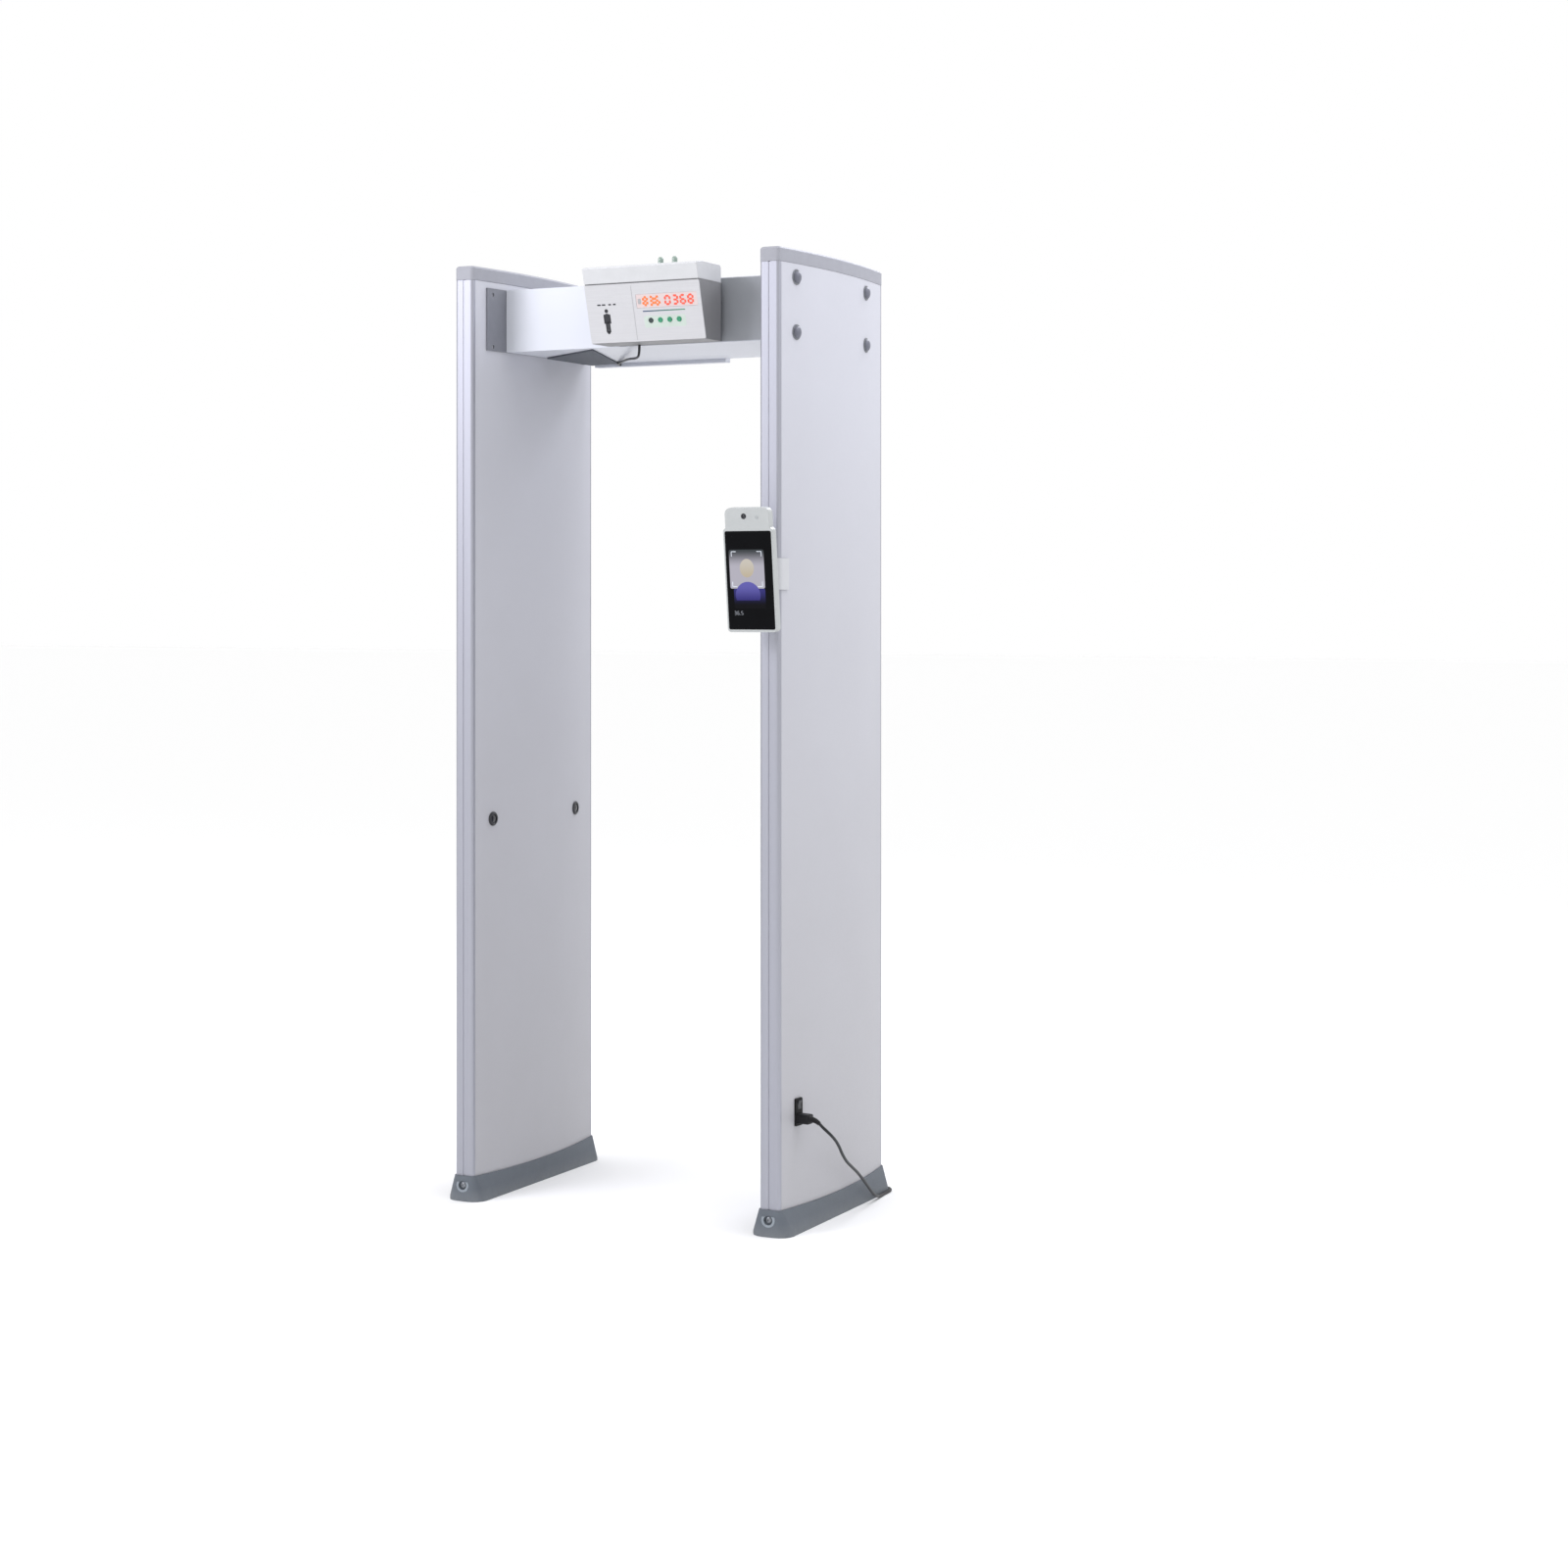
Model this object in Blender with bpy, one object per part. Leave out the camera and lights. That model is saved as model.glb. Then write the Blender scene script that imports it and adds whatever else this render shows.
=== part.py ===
"""Walk-through security gate: two arched coil columns, a crossbeam with a control unit, and a
face-and-temperature terminal on the right column's front edge.

Metres, +Z up.  X runs across the passage (right column at +X), +Y is the way a visitor walks
through, so the control panel and the terminal face -Y.  The origin lies on the floor under the
middle of the gate's bounding box; GATE_Y moves the columns back from it, because the terminal
stands out in front.
"""
import math

import bmesh
import bpy
from mathutils import Matrix, Vector

for old in list(bpy.data.objects):
    bpy.data.objects.remove(old, do_unlink=True)

# Driving dimensions ---------------------------------------------------------------------------
HEIGHT = 2.200            # floor to the top of the caps
DEPTH = 0.580             # a column along Y
PASSAGE = 0.704           # clear width between the columns at their fullest
EDGE_T = 0.046            # column thickness at its front and rear edge
BULGE = 0.022             # how far each face arches out at mid depth
SKIN_T = 0.004            # face panel
GAP = 0.0003              # between touching pieces
GATE_Y = 0.0540           # columns' centre behind the origin

COLUMN_X = PASSAGE / 2 + BULGE + EDGE_T / 2
HALF_D = DEPTH / 2

SHOE_FLOOR = 0.012        # solid floor of a shoe, under the column
CAP_H = 0.033
PANEL_LOW = SHOE_FLOOR + GAP
PANEL_TOP = HEIGHT - CAP_H - GAP
NOSE_Y = 0.280            # where the edge profile meets the face panels
TONGUE_Y = 0.262          # how far the profile's tongue reaches between the panels

BEAM_FRONT = -0.167
BEAM_REAR = 0.235
BEAM_LOW = 2.004
BEAM_TOP = 2.152
BEAM_SHEET = 0.0025

PANEL_TILT = math.atan2(0.039, 0.135)     # the control panel faces slightly down
UNIT_X0, UNIT_X1 = -0.066, 0.228
UNIT_FRONT = -0.267                       # lower front edge of the control unit
UNIT_REAR = -0.190
FASCIA_T = 0.003

BOLT_Y = (-0.218, 0.160)
BOLT_Z = (2.0135, 2.1365)
BOLT_R = 0.004
SENSOR_Y = (-0.213, 0.180)
SENSOR_Z = 0.895

INLET_Y, INLET_Z = -0.212, 0.268
SOCKET_DROP = 0.014                       # socket centre under the inlet's centre

TERMINAL_Z = 1.457
TERMINAL_Y = -0.390                       # front of the glass, at its middle
TERMINAL_TILT = math.radians(6.5)         # top leans towards the visitor
PAN_Y, PAN_Z = -0.3145, 1.4625
TILT_Y, TILT_Z = -0.352, 1.470

CORD_D = 0.007
LEAD_D = 0.006
COIL_X, COIL_Y = 0.285, 0.385
COIL_INNER, COIL_OUTER, COIL_H = 0.0285, 0.0495, 0.0145


# Small tools ----------------------------------------------------------------------------------
def half_thickness(y):
    """Half of a column's thickness at depth y: a shallow arch, fullest in the middle."""
    return EDGE_T / 2 + BULGE * (1 - (y / HALF_D) ** 2)


def spread(first, last, count):
    return [first + (last - first) * i / (count - 1) for i in range(count)]


def arc(cx, cy, radius, start, end, steps):
    """Points on an arc, angles in degrees."""
    angles = spread(math.radians(start), math.radians(end), steps + 1)
    return [(cx + radius * math.cos(a), cy + radius * math.sin(a)) for a in angles]


def rounded(width, height, radius, steps=4, cx=0.0, cy=0.0):
    """Counter-clockwise rounded rectangle."""
    x, y = width / 2 - radius, height / 2 - radius
    points = []
    for corner, (sx, sy) in enumerate(((1, 1), (-1, 1), (-1, -1), (1, -1))):
        points += arc(cx + sx * x, cy + sy * y, radius, 90 * corner, 90 * corner + 90, steps)
    return points


def circle(radius, steps=20, turn=0.0):
    return [(radius * math.cos(turn + 2 * math.pi * i / steps),
             radius * math.sin(turn + 2 * math.pi * i / steps)) for i in range(steps)]


def column_ring(grow, radius, width=half_thickness, reach=HALF_D, samples=11, steps=4):
    """Counter-clockwise outline of a column or a shoe: two long sides and four round corners."""
    end = reach + grow - radius
    side = [(width(y) + grow, y) for y in spread(-end, end, samples)]
    rear = width(end) + grow - radius
    points = side + arc(rear, end, radius, 0, 90, steps)[1:]
    points += arc(-rear, end, radius, 90, 180, steps)[:-1]
    points += [(-x, -y) for x, y in side]
    points += arc(-rear, -end, radius, 180, 270, steps)[1:]
    points += arc(rear, -end, radius, 270, 360, steps)[:-1]
    return points


def level(outline, z):
    return [Vector((x, y, z)) for x, y in outline]


def loft(rings):
    """One closed body through rings of equal length; the first and last are closed flat."""
    bm = bmesh.new()
    loops = [[bm.verts.new(p) for p in ring] for ring in rings]
    count = len(loops[0])
    for low, high in zip(loops, loops[1:]):
        for i in range(count):
            j = (i + 1) % count
            bm.faces.new((low[i], low[j], high[j], high[i]))
    bm.faces.new(list(reversed(loops[0])))
    bm.faces.new(loops[-1])
    return bm


def prism(outline, z0, z1):
    return loft([level(outline, z0), level(outline, z1)])


def tube_prism(outer, inner, z0, z1):
    """A straight extrusion with an open bore; both outlines have the same number of points."""
    bm = bmesh.new()
    loops = [[bm.verts.new(p) for p in level(line, z)]
             for line, z in ((outer, z0), (outer, z1), (inner, z1), (inner, z0))]
    count = len(outer)
    for low, high in zip(loops, loops[1:] + loops[:1]):
        for i in range(count):
            j = (i + 1) % count
            bm.faces.new((low[i], low[j], high[j], high[i]))
    return bm


def block(x0, x1, y0, y1, z0, z1):
    return prism([(x0, y0), (x1, y0), (x1, y1), (x0, y1)], z0, z1)


def turned(profile, steps=24):
    """Spin a profile of (radius, z) about Z; it starts and ends on the axis."""
    bm = bmesh.new()
    verts = [bm.verts.new((r, 0.0, z)) for r, z in profile]
    edges = [bm.edges.new(pair) for pair in zip(verts, verts[1:])]
    bmesh.ops.spin(bm, geom=verts + edges, cent=(0, 0, 0), axis=(0, 0, 1),
                   angle=2 * math.pi, steps=steps, use_duplicate=False)
    bmesh.ops.remove_doubles(bm, verts=bm.verts, dist=1e-6)
    return bm


def inset_outline(outline, distance):
    """Move every side of a counter-clockwise outline inwards."""
    points = [Vector(p) for p in outline]
    moved = []
    for i, p in enumerate(points):
        before = (p - points[i - 1]).normalized()
        after = (points[(i + 1) % len(points)] - p).normalized()
        n0, n1 = Vector((-before.y, before.x)), Vector((-after.y, after.x))
        corner = (n0 + n1).normalized()
        moved.append(p + corner * (distance / max(0.3, corner.dot(n0))))
    return [(p.x, p.y) for p in moved]


def put(bm, matrix):
    bmesh.ops.transform(bm, matrix=matrix, verts=bm.verts)
    return bm


def as_object(bm):
    bmesh.ops.recalc_face_normals(bm, faces=bm.faces)
    mesh = bpy.data.meshes.new("solid")
    bm.to_mesh(mesh)
    bm.free()
    obj = bpy.data.objects.new("solid", mesh)
    bpy.context.scene.collection.objects.link(obj)
    return obj


def boolean(solid, tools, operation="DIFFERENCE"):
    """Cut the tools from the solid, or join them to it, and give the result as a bmesh."""
    target = as_object(solid)
    cutters = [as_object(tool) for tool in tools]
    for cutter in cutters:
        cutter.hide_render = True
        cutter.display_type = "WIRE"
        step = target.modifiers.new("cut", "BOOLEAN")
        step.operation = operation
        step.solver = "EXACT"
        step.object = cutter
    evaluated = target.evaluated_get(bpy.context.evaluated_depsgraph_get())
    result = bmesh.new()
    result.from_mesh(evaluated.to_mesh())
    evaluated.to_mesh_clear()
    for used in [target] + cutters:
        mesh = used.data
        bpy.data.objects.remove(used, do_unlink=True)
        bpy.data.meshes.remove(mesh)
    bmesh.ops.dissolve_degenerate(result, dist=1e-6, edges=result.edges)
    return result


def join(solid, tools):
    return boolean(solid, tools, "UNION")


LOOKS = {                 # colour (linear), roughness, metallic
    "shell": ((0.60, 0.61, 0.66), 0.45, 0.0),
    "edge": ((0.50, 0.51, 0.56), 0.35, 0.2),
    "cap": ((0.42, 0.42, 0.45), 0.45, 0.0),
    "shoe": ((0.14, 0.16, 0.18), 0.60, 0.0),
    "beam": ((0.66, 0.67, 0.72), 0.40, 0.1),
    "grey": ((0.20, 0.20, 0.20), 0.50, 0.0),
    "white": ((0.78, 0.79, 0.79), 0.35, 0.0),
    "silver": ((0.58, 0.58, 0.59), 0.40, 0.3),
    "black": ((0.02, 0.02, 0.025), 0.45, 0.0),
    "glass": ((0.01, 0.01, 0.012), 0.08, 0.0),
    "steel": ((0.45, 0.45, 0.46), 0.30, 1.0),
    "red": ((0.55, 0.06, 0.02), 0.25, 0.0),
    "green": ((0.02, 0.25, 0.12), 0.35, 0.0),
    "lamp": ((0.25, 0.32, 0.28), 0.20, 0.0),
    "copper": ((0.50, 0.20, 0.08), 0.40, 1.0),
    "board": ((0.02, 0.16, 0.07), 0.55, 0.0),
}


def paint(obj, look):
    colour, roughness, metallic = LOOKS[look]
    material = bpy.data.materials.new(obj.name)
    material.use_nodes = True
    shader = material.node_tree.nodes["Principled BSDF"]
    shader.inputs["Base Color"].default_value = (*colour, 1.0)
    shader.inputs["Roughness"].default_value = roughness
    shader.inputs["Metallic"].default_value = metallic
    obj.data.materials.append(material)


gate_frame = bpy.data.objects.new("gate_frame", None)
gate_frame.location = (0.0, GATE_Y, 0.0)
bpy.context.scene.collection.objects.link(gate_frame)


def add(name, bm, look, matrix=Matrix(), parent=gate_frame):
    """Put a finished solid in the scene under its sub-part's name."""
    obj = as_object(bm)
    obj.name = name
    obj.data.name = name
    obj.parent = parent
    obj.matrix_local = matrix
    obj.data.shade_smooth()
    obj.data.set_sharp_from_angle(angle=math.radians(30))
    paint(obj, look)
    return obj


def shift(x=0.0, y=0.0, z=0.0):
    return Matrix.Translation((x, y, z))


def face_frame(column, face, y, z):
    """Frame on a column's face: local Z points out of the face, local Y is up.

    column is +1 for the right one; face is +1 for the face towards +X."""
    slope = -2 * BULGE * y / HALF_D ** 2
    out = Vector((face, -slope, 0)).normalized()
    up = Vector((0, 0, 1))
    along = up.cross(out)
    frame = Matrix((along, up, out)).transposed().to_4x4()
    return shift(column * COLUMN_X + face * half_thickness(y), y, z) @ frame


ALONG_X = Matrix.Rotation(math.radians(90), 4, "Y")        # turns local Z into X


def rod(radius, x0, x1, y, z, steps=16):
    """Straight round bar along X."""
    bm = prism(circle(radius, steps), 0, abs(x1 - x0))
    return put(bm, shift(min(x0, x1), y, z) @ ALONG_X)


# Columns --------------------------------------------------------------------------------------
def face_panel(column, face):
    """Arched face panel between the two edge profiles, with its holes."""
    ys = spread(-NOSE_Y + GAP, NOSE_Y - GAP, 15)
    outer = [(face * half_thickness(y), y) for y in ys]
    inner = [(face * (half_thickness(y) - SKIN_T), y) for y in reversed(ys)]
    panel = prism(outer + inner, PANEL_LOW, PANEL_TOP)
    put(panel, shift(column * COLUMN_X))
    x = column * COLUMN_X
    reach = face * 0.06
    holes = [rod(BOLT_R + 0.0006, x, x + reach, y, z) for y in BOLT_Y for z in BOLT_Z]
    if face != column:
        holes += [put(prism(circle(0.0130, 20), -0.02, 0.01), face_frame(column, face, y, SENSOR_Z))
                  for y in SENSOR_Y]
    elif column > 0:
        opening = prism(rounded(0.0276, 0.0583, 0.002), -0.02, 0.01)
        holes.append(put(opening, face_frame(column, face, INLET_Y, INLET_Z)))
    return boolean(panel, holes)


def edge_profile(column, end):
    """Hollow nose extrusion with a tongue between the face panels; end is -1 at the front."""
    radius, proud = 0.009, 0.0006
    tip = HALF_D - radius
    shoulder = half_thickness(NOSE_Y) + proud
    tongue = half_thickness(NOSE_Y) - SKIN_T - GAP
    half = half_thickness(tip) + proud - radius
    right = [(tongue, TONGUE_Y), (tongue, NOSE_Y), (shoulder, NOSE_Y)]
    right += arc(half, tip, radius, 0, 90, 5)
    outline = right + [(-x, y) for x, y in reversed(right)]
    wall = 0.0022
    right = [(tongue - wall, TONGUE_Y + wall), (tongue - wall, NOSE_Y + wall),
             (tongue, NOSE_Y + 1.2 * wall)]
    right += arc(half, tip, radius - wall, 14, 90, 5)
    bore = right + [(-x, y) for x, y in reversed(right)]
    profile = tube_prism(outline, bore, PANEL_LOW, PANEL_TOP)
    screw = prism(circle(0.0035, 12), -0.02, 0.02)
    put(screw, shift(0, HALF_D, SCREW_Z) @ Matrix.Rotation(math.radians(90), 4, "X"))
    profile = boolean(profile, [screw])
    if end < 0:
        put(profile, Matrix.Rotation(math.pi, 4, "Z"))
    return put(profile, shift(column * COLUMN_X))


SHOE_HALF_W, SHOE_REACH = 0.048, 0.300
SCREW_Z = 0.037
COUNTERBORE_R, COUNTERBORE_DEEP = 0.0105, 0.0070


def shoe(column):
    """Flared boot: straight sides on the floor, upper rim following the arched column."""
    foot = column_ring(0, 0.034, width=lambda y: SHOE_HALF_W, reach=SHOE_REACH)
    rim = column_ring(0.0040, 0.0130)
    pocket = column_ring(0.0009, 0.0093)

    def rim_height(y):
        return 0.056 + 0.003 * (y / HALF_D) ** 2

    top = [Vector((x, y, rim_height(y))) for x, y in rim]
    lip = [Vector((x, y, rim_height(y))) for x, y in pocket]
    body = loft([level(foot, 0), level(foot, 0.007), top, lip, level(pocket, SHOE_FLOOR)])
    bores = []
    for end in (-1, 1):
        turn = Matrix.Rotation(math.radians(90), 4, "X")
        start = SHOE_REACH - COUNTERBORE_DEEP
        middle = end * (start + 0.015)
        bores.append(put(prism(circle(COUNTERBORE_R), -0.015, 0.015),
                         shift(0, middle, SCREW_Z) @ turn))
        bores.append(put(prism(circle(0.0034, 12), -0.02, 0.02),
                         shift(0, end * SHOE_REACH, SCREW_Z) @ turn))
    return put(boolean(body, bores), shift(column * COLUMN_X))


def shoe_screw():
    """Pan-head screw that holds a shoe to the column's edge; local Z points out."""
    return turned([(0, 0.0030), (0.0030, 0.0030), (0.0062, 0.0022), (0.0072, 0.0010),
                   (0.0072, 0.0), (0.0029, 0.0), (0.0029, -0.0100), (0, -0.0100)], 16)


def top_cap(column):
    """Hollow moulded lid with a chamfered upper edge."""
    skirt = column_ring(0.0012, 0.0100)
    crown = column_ring(-0.0030, 0.0070)
    hollow = column_ring(-0.0025, 0.0070)
    low, high = HEIGHT - CAP_H, HEIGHT
    body = loft([level(hollow, high - 0.003), level(hollow, low), level(skirt, low),
                 level(skirt, high - 0.0042), level(crown, high)])
    return put(body, shift(column * COLUMN_X))


def detector_coil(column):
    """Flat racetrack winding in the middle of a column."""
    outer = rounded(0.370, 1.530, 0.060, 6)
    inner = rounded(0.346, 1.506, 0.048, 6)
    ring = tube_prism(outer, inner, -0.006, 0.006)
    upright = Matrix.Rotation(math.radians(90), 4, "Y") @ Matrix.Rotation(math.radians(90), 4, "Z")
    return put(ring, shift(column * COLUMN_X, 0, 1.190) @ upright)


def sensor_window():
    """Dark round infrared window with its stem through the face panel."""
    return turned([(0, 0.0040), (0.0095, 0.0036), (0.0145, 0.0026), (0.0170, 0.0012),
                   (0.0170, GAP), (0.0126, GAP), (0.0126, -0.0120), (0, -0.0120)], 18)


def beam_bolt(column, y, z):
    """Through bolt with a domed plastic cap seated on the arched outer face."""
    cap = turned([(0, 0.0100), (0.0080, 0.0096), (0.0130, 0.0080), (0.0162, 0.0050),
                  (0.0175, 0.0020), (0.0175, GAP), (0, GAP)], 16)
    put(cap, face_frame(column, column, y, z))
    outer = column * (COLUMN_X + half_thickness(y) + 0.004)
    tip = column * (COLUMN_X - half_thickness(y) - GAP - 0.0035)
    return join(cap, [rod(BOLT_R, outer, tip, y, z, 12)])


for side, column in (("left", -1), ("right", 1)):
    add(side + "_front_profile", edge_profile(column, -1), "edge")
    add(side + "_rear_profile", edge_profile(column, 1), "edge")
    add(side + "_inner_panel", face_panel(column, -column), "shell")
    add(side + "_outer_panel", face_panel(column, column), "shell")
    add(side + "_top_cap", top_cap(column), "cap")
    add(side + "_shoe", shoe(column), "shoe")
    winding = "transmit" if column < 0 else "receive"
    add(side + "_" + winding + "_coil", detector_coil(column), "copper")
    for end, name in ((-1, "front"), (1, "rear")):
        seat = shift(column * COLUMN_X, end * (SHOE_REACH - COUNTERBORE_DEEP + GAP), SCREW_Z)
        add(side + "_" + name + "_shoe_screw", shoe_screw(), "steel",
            seat @ Matrix.Rotation(math.radians(90 if end < 0 else -90), 4, "X"))
    for name, y in zip(("front", "rear"), SENSOR_Y):
        add(side + "_" + name + "_sensor", sensor_window(), "black",
            face_frame(column, -column, y, SENSOR_Z))
    for number, (y, z) in enumerate(((y, z) for z in BOLT_Z for y in BOLT_Y), 1):
        add(side + "_beam_bolt_" + str(number), beam_bolt(column, y, z), "grey")


# Crossbeam ------------------------------------------------------------------------------------
FLANGE_T = 0.004
FLANGE_FRONT = -0.240


def beam_end(y, clearance=GAP):
    """X of the right column's inner face at depth y, less a clearance."""
    return COLUMN_X - half_thickness(y) - clearance


def channel_end(y):
    """Where the channel stops, against the bracket's flange."""
    return beam_end(y) - FLANGE_T - GAP


def crossbeam_body():
    """Folded channel, open at the rear, with ends shaped to the arched columns."""
    ys = spread(BEAM_FRONT, BEAM_REAR, 13)
    outline = [(channel_end(y), y) for y in ys] + [(-channel_end(y), y) for y in reversed(ys)]
    hollow = block(-0.5, 0.5, BEAM_FRONT + BEAM_SHEET, 0.5,
                   BEAM_LOW + BEAM_SHEET, BEAM_TOP - BEAM_SHEET)
    return boolean(prism(outline, BEAM_LOW, BEAM_TOP), [hollow])


def beam_bracket(column):
    """Flange bolted to the column's arched inner face, with a cast block inside the channel."""
    ys = spread(FLANGE_FRONT, BEAM_REAR, 13)
    flange = [(beam_end(y), y) for y in ys] + [(beam_end(y) - FLANGE_T, y) for y in reversed(ys)]
    ys = spread(BEAM_FRONT + BEAM_SHEET + GAP, BEAM_REAR - GAP, 9)
    block_end = [(beam_end(y) - 0.001, y) for y in ys] + [(0.336, ys[-1]), (0.336, ys[0])]
    bracket = prism(flange, BEAM_LOW, BEAM_TOP)
    core = prism(block_end, BEAM_LOW + BEAM_SHEET + GAP, BEAM_TOP - BEAM_SHEET - GAP)
    seats = [rod(BOLT_R + 0.0006, 0.330, 0.400, y, z) for y in BOLT_Y for z in BOLT_Z]
    bracket = boolean(join(bracket, [core]), seats)
    if column < 0:
        put(bracket, Matrix.Scale(-1, 4, (1, 0, 0)))
    return bracket


BOX_X0, BOX_X1 = -0.335, 0.030
BOX_REAR, BOX_LOW = 0.262, 1.9955


def crossbeam_rear_cover():
    """Lid over the channel's open rear, with the raised bay of the power and relay box."""
    y0 = BEAM_REAR + GAP
    end = channel_end(y0)
    lid = block(-end, end, y0, y0 + BEAM_SHEET, BEAM_LOW, BEAM_TOP)
    bay = block(BOX_X0, BOX_X1, y0, BOX_REAR, BOX_LOW, 2.142)
    hollow = block(BOX_X0 + 0.003, BOX_X1 - 0.003, y0 - 0.01, BOX_REAR - 0.003,
                   BEAM_LOW + 0.003, 2.139)
    return boolean(join(lid, [bay]), [hollow])


add("crossbeam_body", crossbeam_body(), "beam")
add("crossbeam_rear_cover", crossbeam_rear_cover(), "beam")
add("left_beam_bracket", beam_bracket(-1), "steel")
add("right_beam_bracket", beam_bracket(1), "steel")


# Control unit ---------------------------------------------------------------------------------
# The slanted front is a frame of its own: local X across, local Y up the panel, local Z out.
PANEL_UP = Vector((0, -math.sin(PANEL_TILT), math.cos(PANEL_TILT)))
PANEL_OUT = Vector((0, -math.cos(PANEL_TILT), -math.sin(PANEL_TILT)))
panel_frame = shift(0, UNIT_FRONT, BEAM_LOW) @ Matrix(
    (Vector((1, 0, 0)), PANEL_UP, PANEL_OUT)).transposed().to_4x4()

PANEL_H = 0.138
HOOD_H = 0.177                            # panel and hood band together, up the slope
BUTTON_X = [0.095 + 0.024 * i for i in range(4)]
BUTTON_UP = 0.048
WINDOW = (0.141, 0.093, 0.156, 0.032)     # centre and size of the display window
LAMP_X = (0.104, 0.140)
LAMP_Y = -0.250


def slope_y(z, depth=0.0):
    """Y of the slanted front at height z, a given depth behind its face."""
    return UNIT_FRONT - (z - BEAM_LOW) * math.tan(PANEL_TILT) + depth / math.cos(PANEL_TILT)


def side_prism(outline):
    """Extrude a (y, z) outline across the control unit."""
    rings = [[Vector((x, y, z)) for y, z in outline] for x in (UNIT_X0, UNIT_X1)]
    return loft(rings)


HOUSING_TOP = BEAM_LOW + PANEL_H * math.cos(PANEL_TILT)


def control_housing():
    """Wedge-shaped box, open at the rear, behind the slanted fascia."""
    skin = FASCIA_T + GAP
    outline = [(slope_y(BEAM_LOW, skin), BEAM_LOW), (UNIT_REAR, BEAM_LOW),
               (UNIT_REAR, HOUSING_TOP), (slope_y(HOUSING_TOP, skin), HOUSING_TOP)]
    low, high, deep = BEAM_LOW + 0.003, HOUSING_TOP - 0.003, skin + 0.003
    cavity = [Vector((0, slope_y(low, deep), low)), Vector((0, -0.1, low)),
              Vector((0, -0.1, high)), Vector((0, slope_y(high, deep), high))]
    hollow = loft([[p + Vector((x, 0, 0)) for p in cavity]
                   for x in (UNIT_X0 + 0.003, UNIT_X1 - 0.003)])
    wells = [put(prism(circle(0.0086), -0.012, 0.01), panel_frame @ shift(x, BUTTON_UP, -0.001))
             for x in BUTTON_X]
    return boolean(side_prism(outline), [hollow] + wells)


def control_hood():
    """Hollow lid whose front band carries on the slope of the panel."""
    low = HOUSING_TOP + GAP
    brow = BEAM_LOW + HOOD_H * math.cos(PANEL_TILT)
    outline = [(slope_y(low), low), (UNIT_REAR, low), (UNIT_REAR, brow - 0.002),
               (UNIT_REAR - 0.006, brow + 0.004), (slope_y(brow) + 0.030, brow + 0.004),
               (slope_y(brow) + 0.004, brow + 0.001), (slope_y(brow), brow - 0.003)]
    hollow = block(UNIT_X0 + 0.003, UNIT_X1 - 0.003, slope_y(low) + 0.004, UNIT_REAR - 0.003,
                   low - 0.01, brow - 0.001)
    return boolean(side_prism(outline), [hollow])


def control_fascia():
    """Flat front plate with the display's opening and four button holes."""
    width = UNIT_X1 - UNIT_X0
    middle = (UNIT_X0 + UNIT_X1) / 2
    plate = prism(rounded(width, PANEL_H - 0.003, 0.003, 2, middle, PANEL_H / 2 - 0.001),
                  -FASCIA_T, 0)
    cx, cy, w, h = WINDOW
    cuts = [prism(rounded(w, h, 0.002, 2, cx, cy), -0.01, 0.01)]
    cuts += [put(prism(circle(0.0066), -0.01, 0.01), shift(x, BUTTON_UP)) for x in BUTTON_X]
    return boolean(plate, cuts)


def display_window():
    cx, cy, w, h = WINDOW
    return prism(rounded(w - 2 * GAP, h - 2 * GAP, 0.0018, 2, cx, cy), -FASCIA_T, -0.0005)


def button():
    """Domed key; its hidden flange keeps it behind the fascia."""
    return turned([(0, 0.0024), (0.0040, 0.0021), (0.0058, 0.0010), (0.0063, -0.0004),
                   (0.0063, -FASCIA_T - GAP), (0.0078, -FASCIA_T - GAP),
                   (0.0078, -0.0045), (0, -0.0045)], 16)


def status_lamp():
    return turned([(0, 0.0190), (0.0040, 0.0180), (0.0062, 0.0150), (0.0066, 0.0040),
                   (0.0082, 0.0036), (0.0082, GAP), (0, GAP)], 16)


def control_mount():
    """Flange that closes the housing, on a narrower spacer against the crossbeam."""
    flange = block(UNIT_X0, UNIT_X1, UNIT_REAR + GAP, UNIT_REAR + 0.0035,
                   BEAM_LOW, HOUSING_TOP)
    spacer = block(UNIT_X0 + 0.02, UNIT_X1 - 0.02, UNIT_REAR + 0.002, BEAM_FRONT - GAP,
                   BEAM_LOW + 0.012, HOUSING_TOP - 0.012)
    return join(flange, [spacer])


def control_board():
    """Circuit board of the control unit with its transformer and display driver."""
    board = block(-0.050, 0.212, -0.2200, -0.2184, 2.014, 2.126)
    chips = [block(-0.030, 0.010, -0.2190, -0.1990, 2.040, 2.080),
             block(0.080, 0.200, -0.2240, -0.2190, 2.080, 2.106)]
    return join(board, chips)


add("control_housing", control_housing(), "grey")
add("control_hood", control_hood(), "white")
add("control_fascia", control_fascia(), "silver", panel_frame)
add("display_window", display_window(), "red", panel_frame)
add("control_mount", control_mount(), "black")
add("control_board", control_board(), "board")
for number, x in enumerate(BUTTON_X, 1):
    add("button_" + str(number), button(), "green", panel_frame @ shift(x, BUTTON_UP, 0))
hood_top = BEAM_LOW + HOOD_H * math.cos(PANEL_TILT) + 0.004
for number, x in enumerate(LAMP_X, 1):
    add("status_lamp_" + str(number), status_lamp(), "lamp", shift(x, LAMP_Y, hood_top))


# Terminal on the right column -----------------------------------------------------------------
CLAMP_LOW, CLAMP_TOP = 1.437, 1.507


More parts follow.
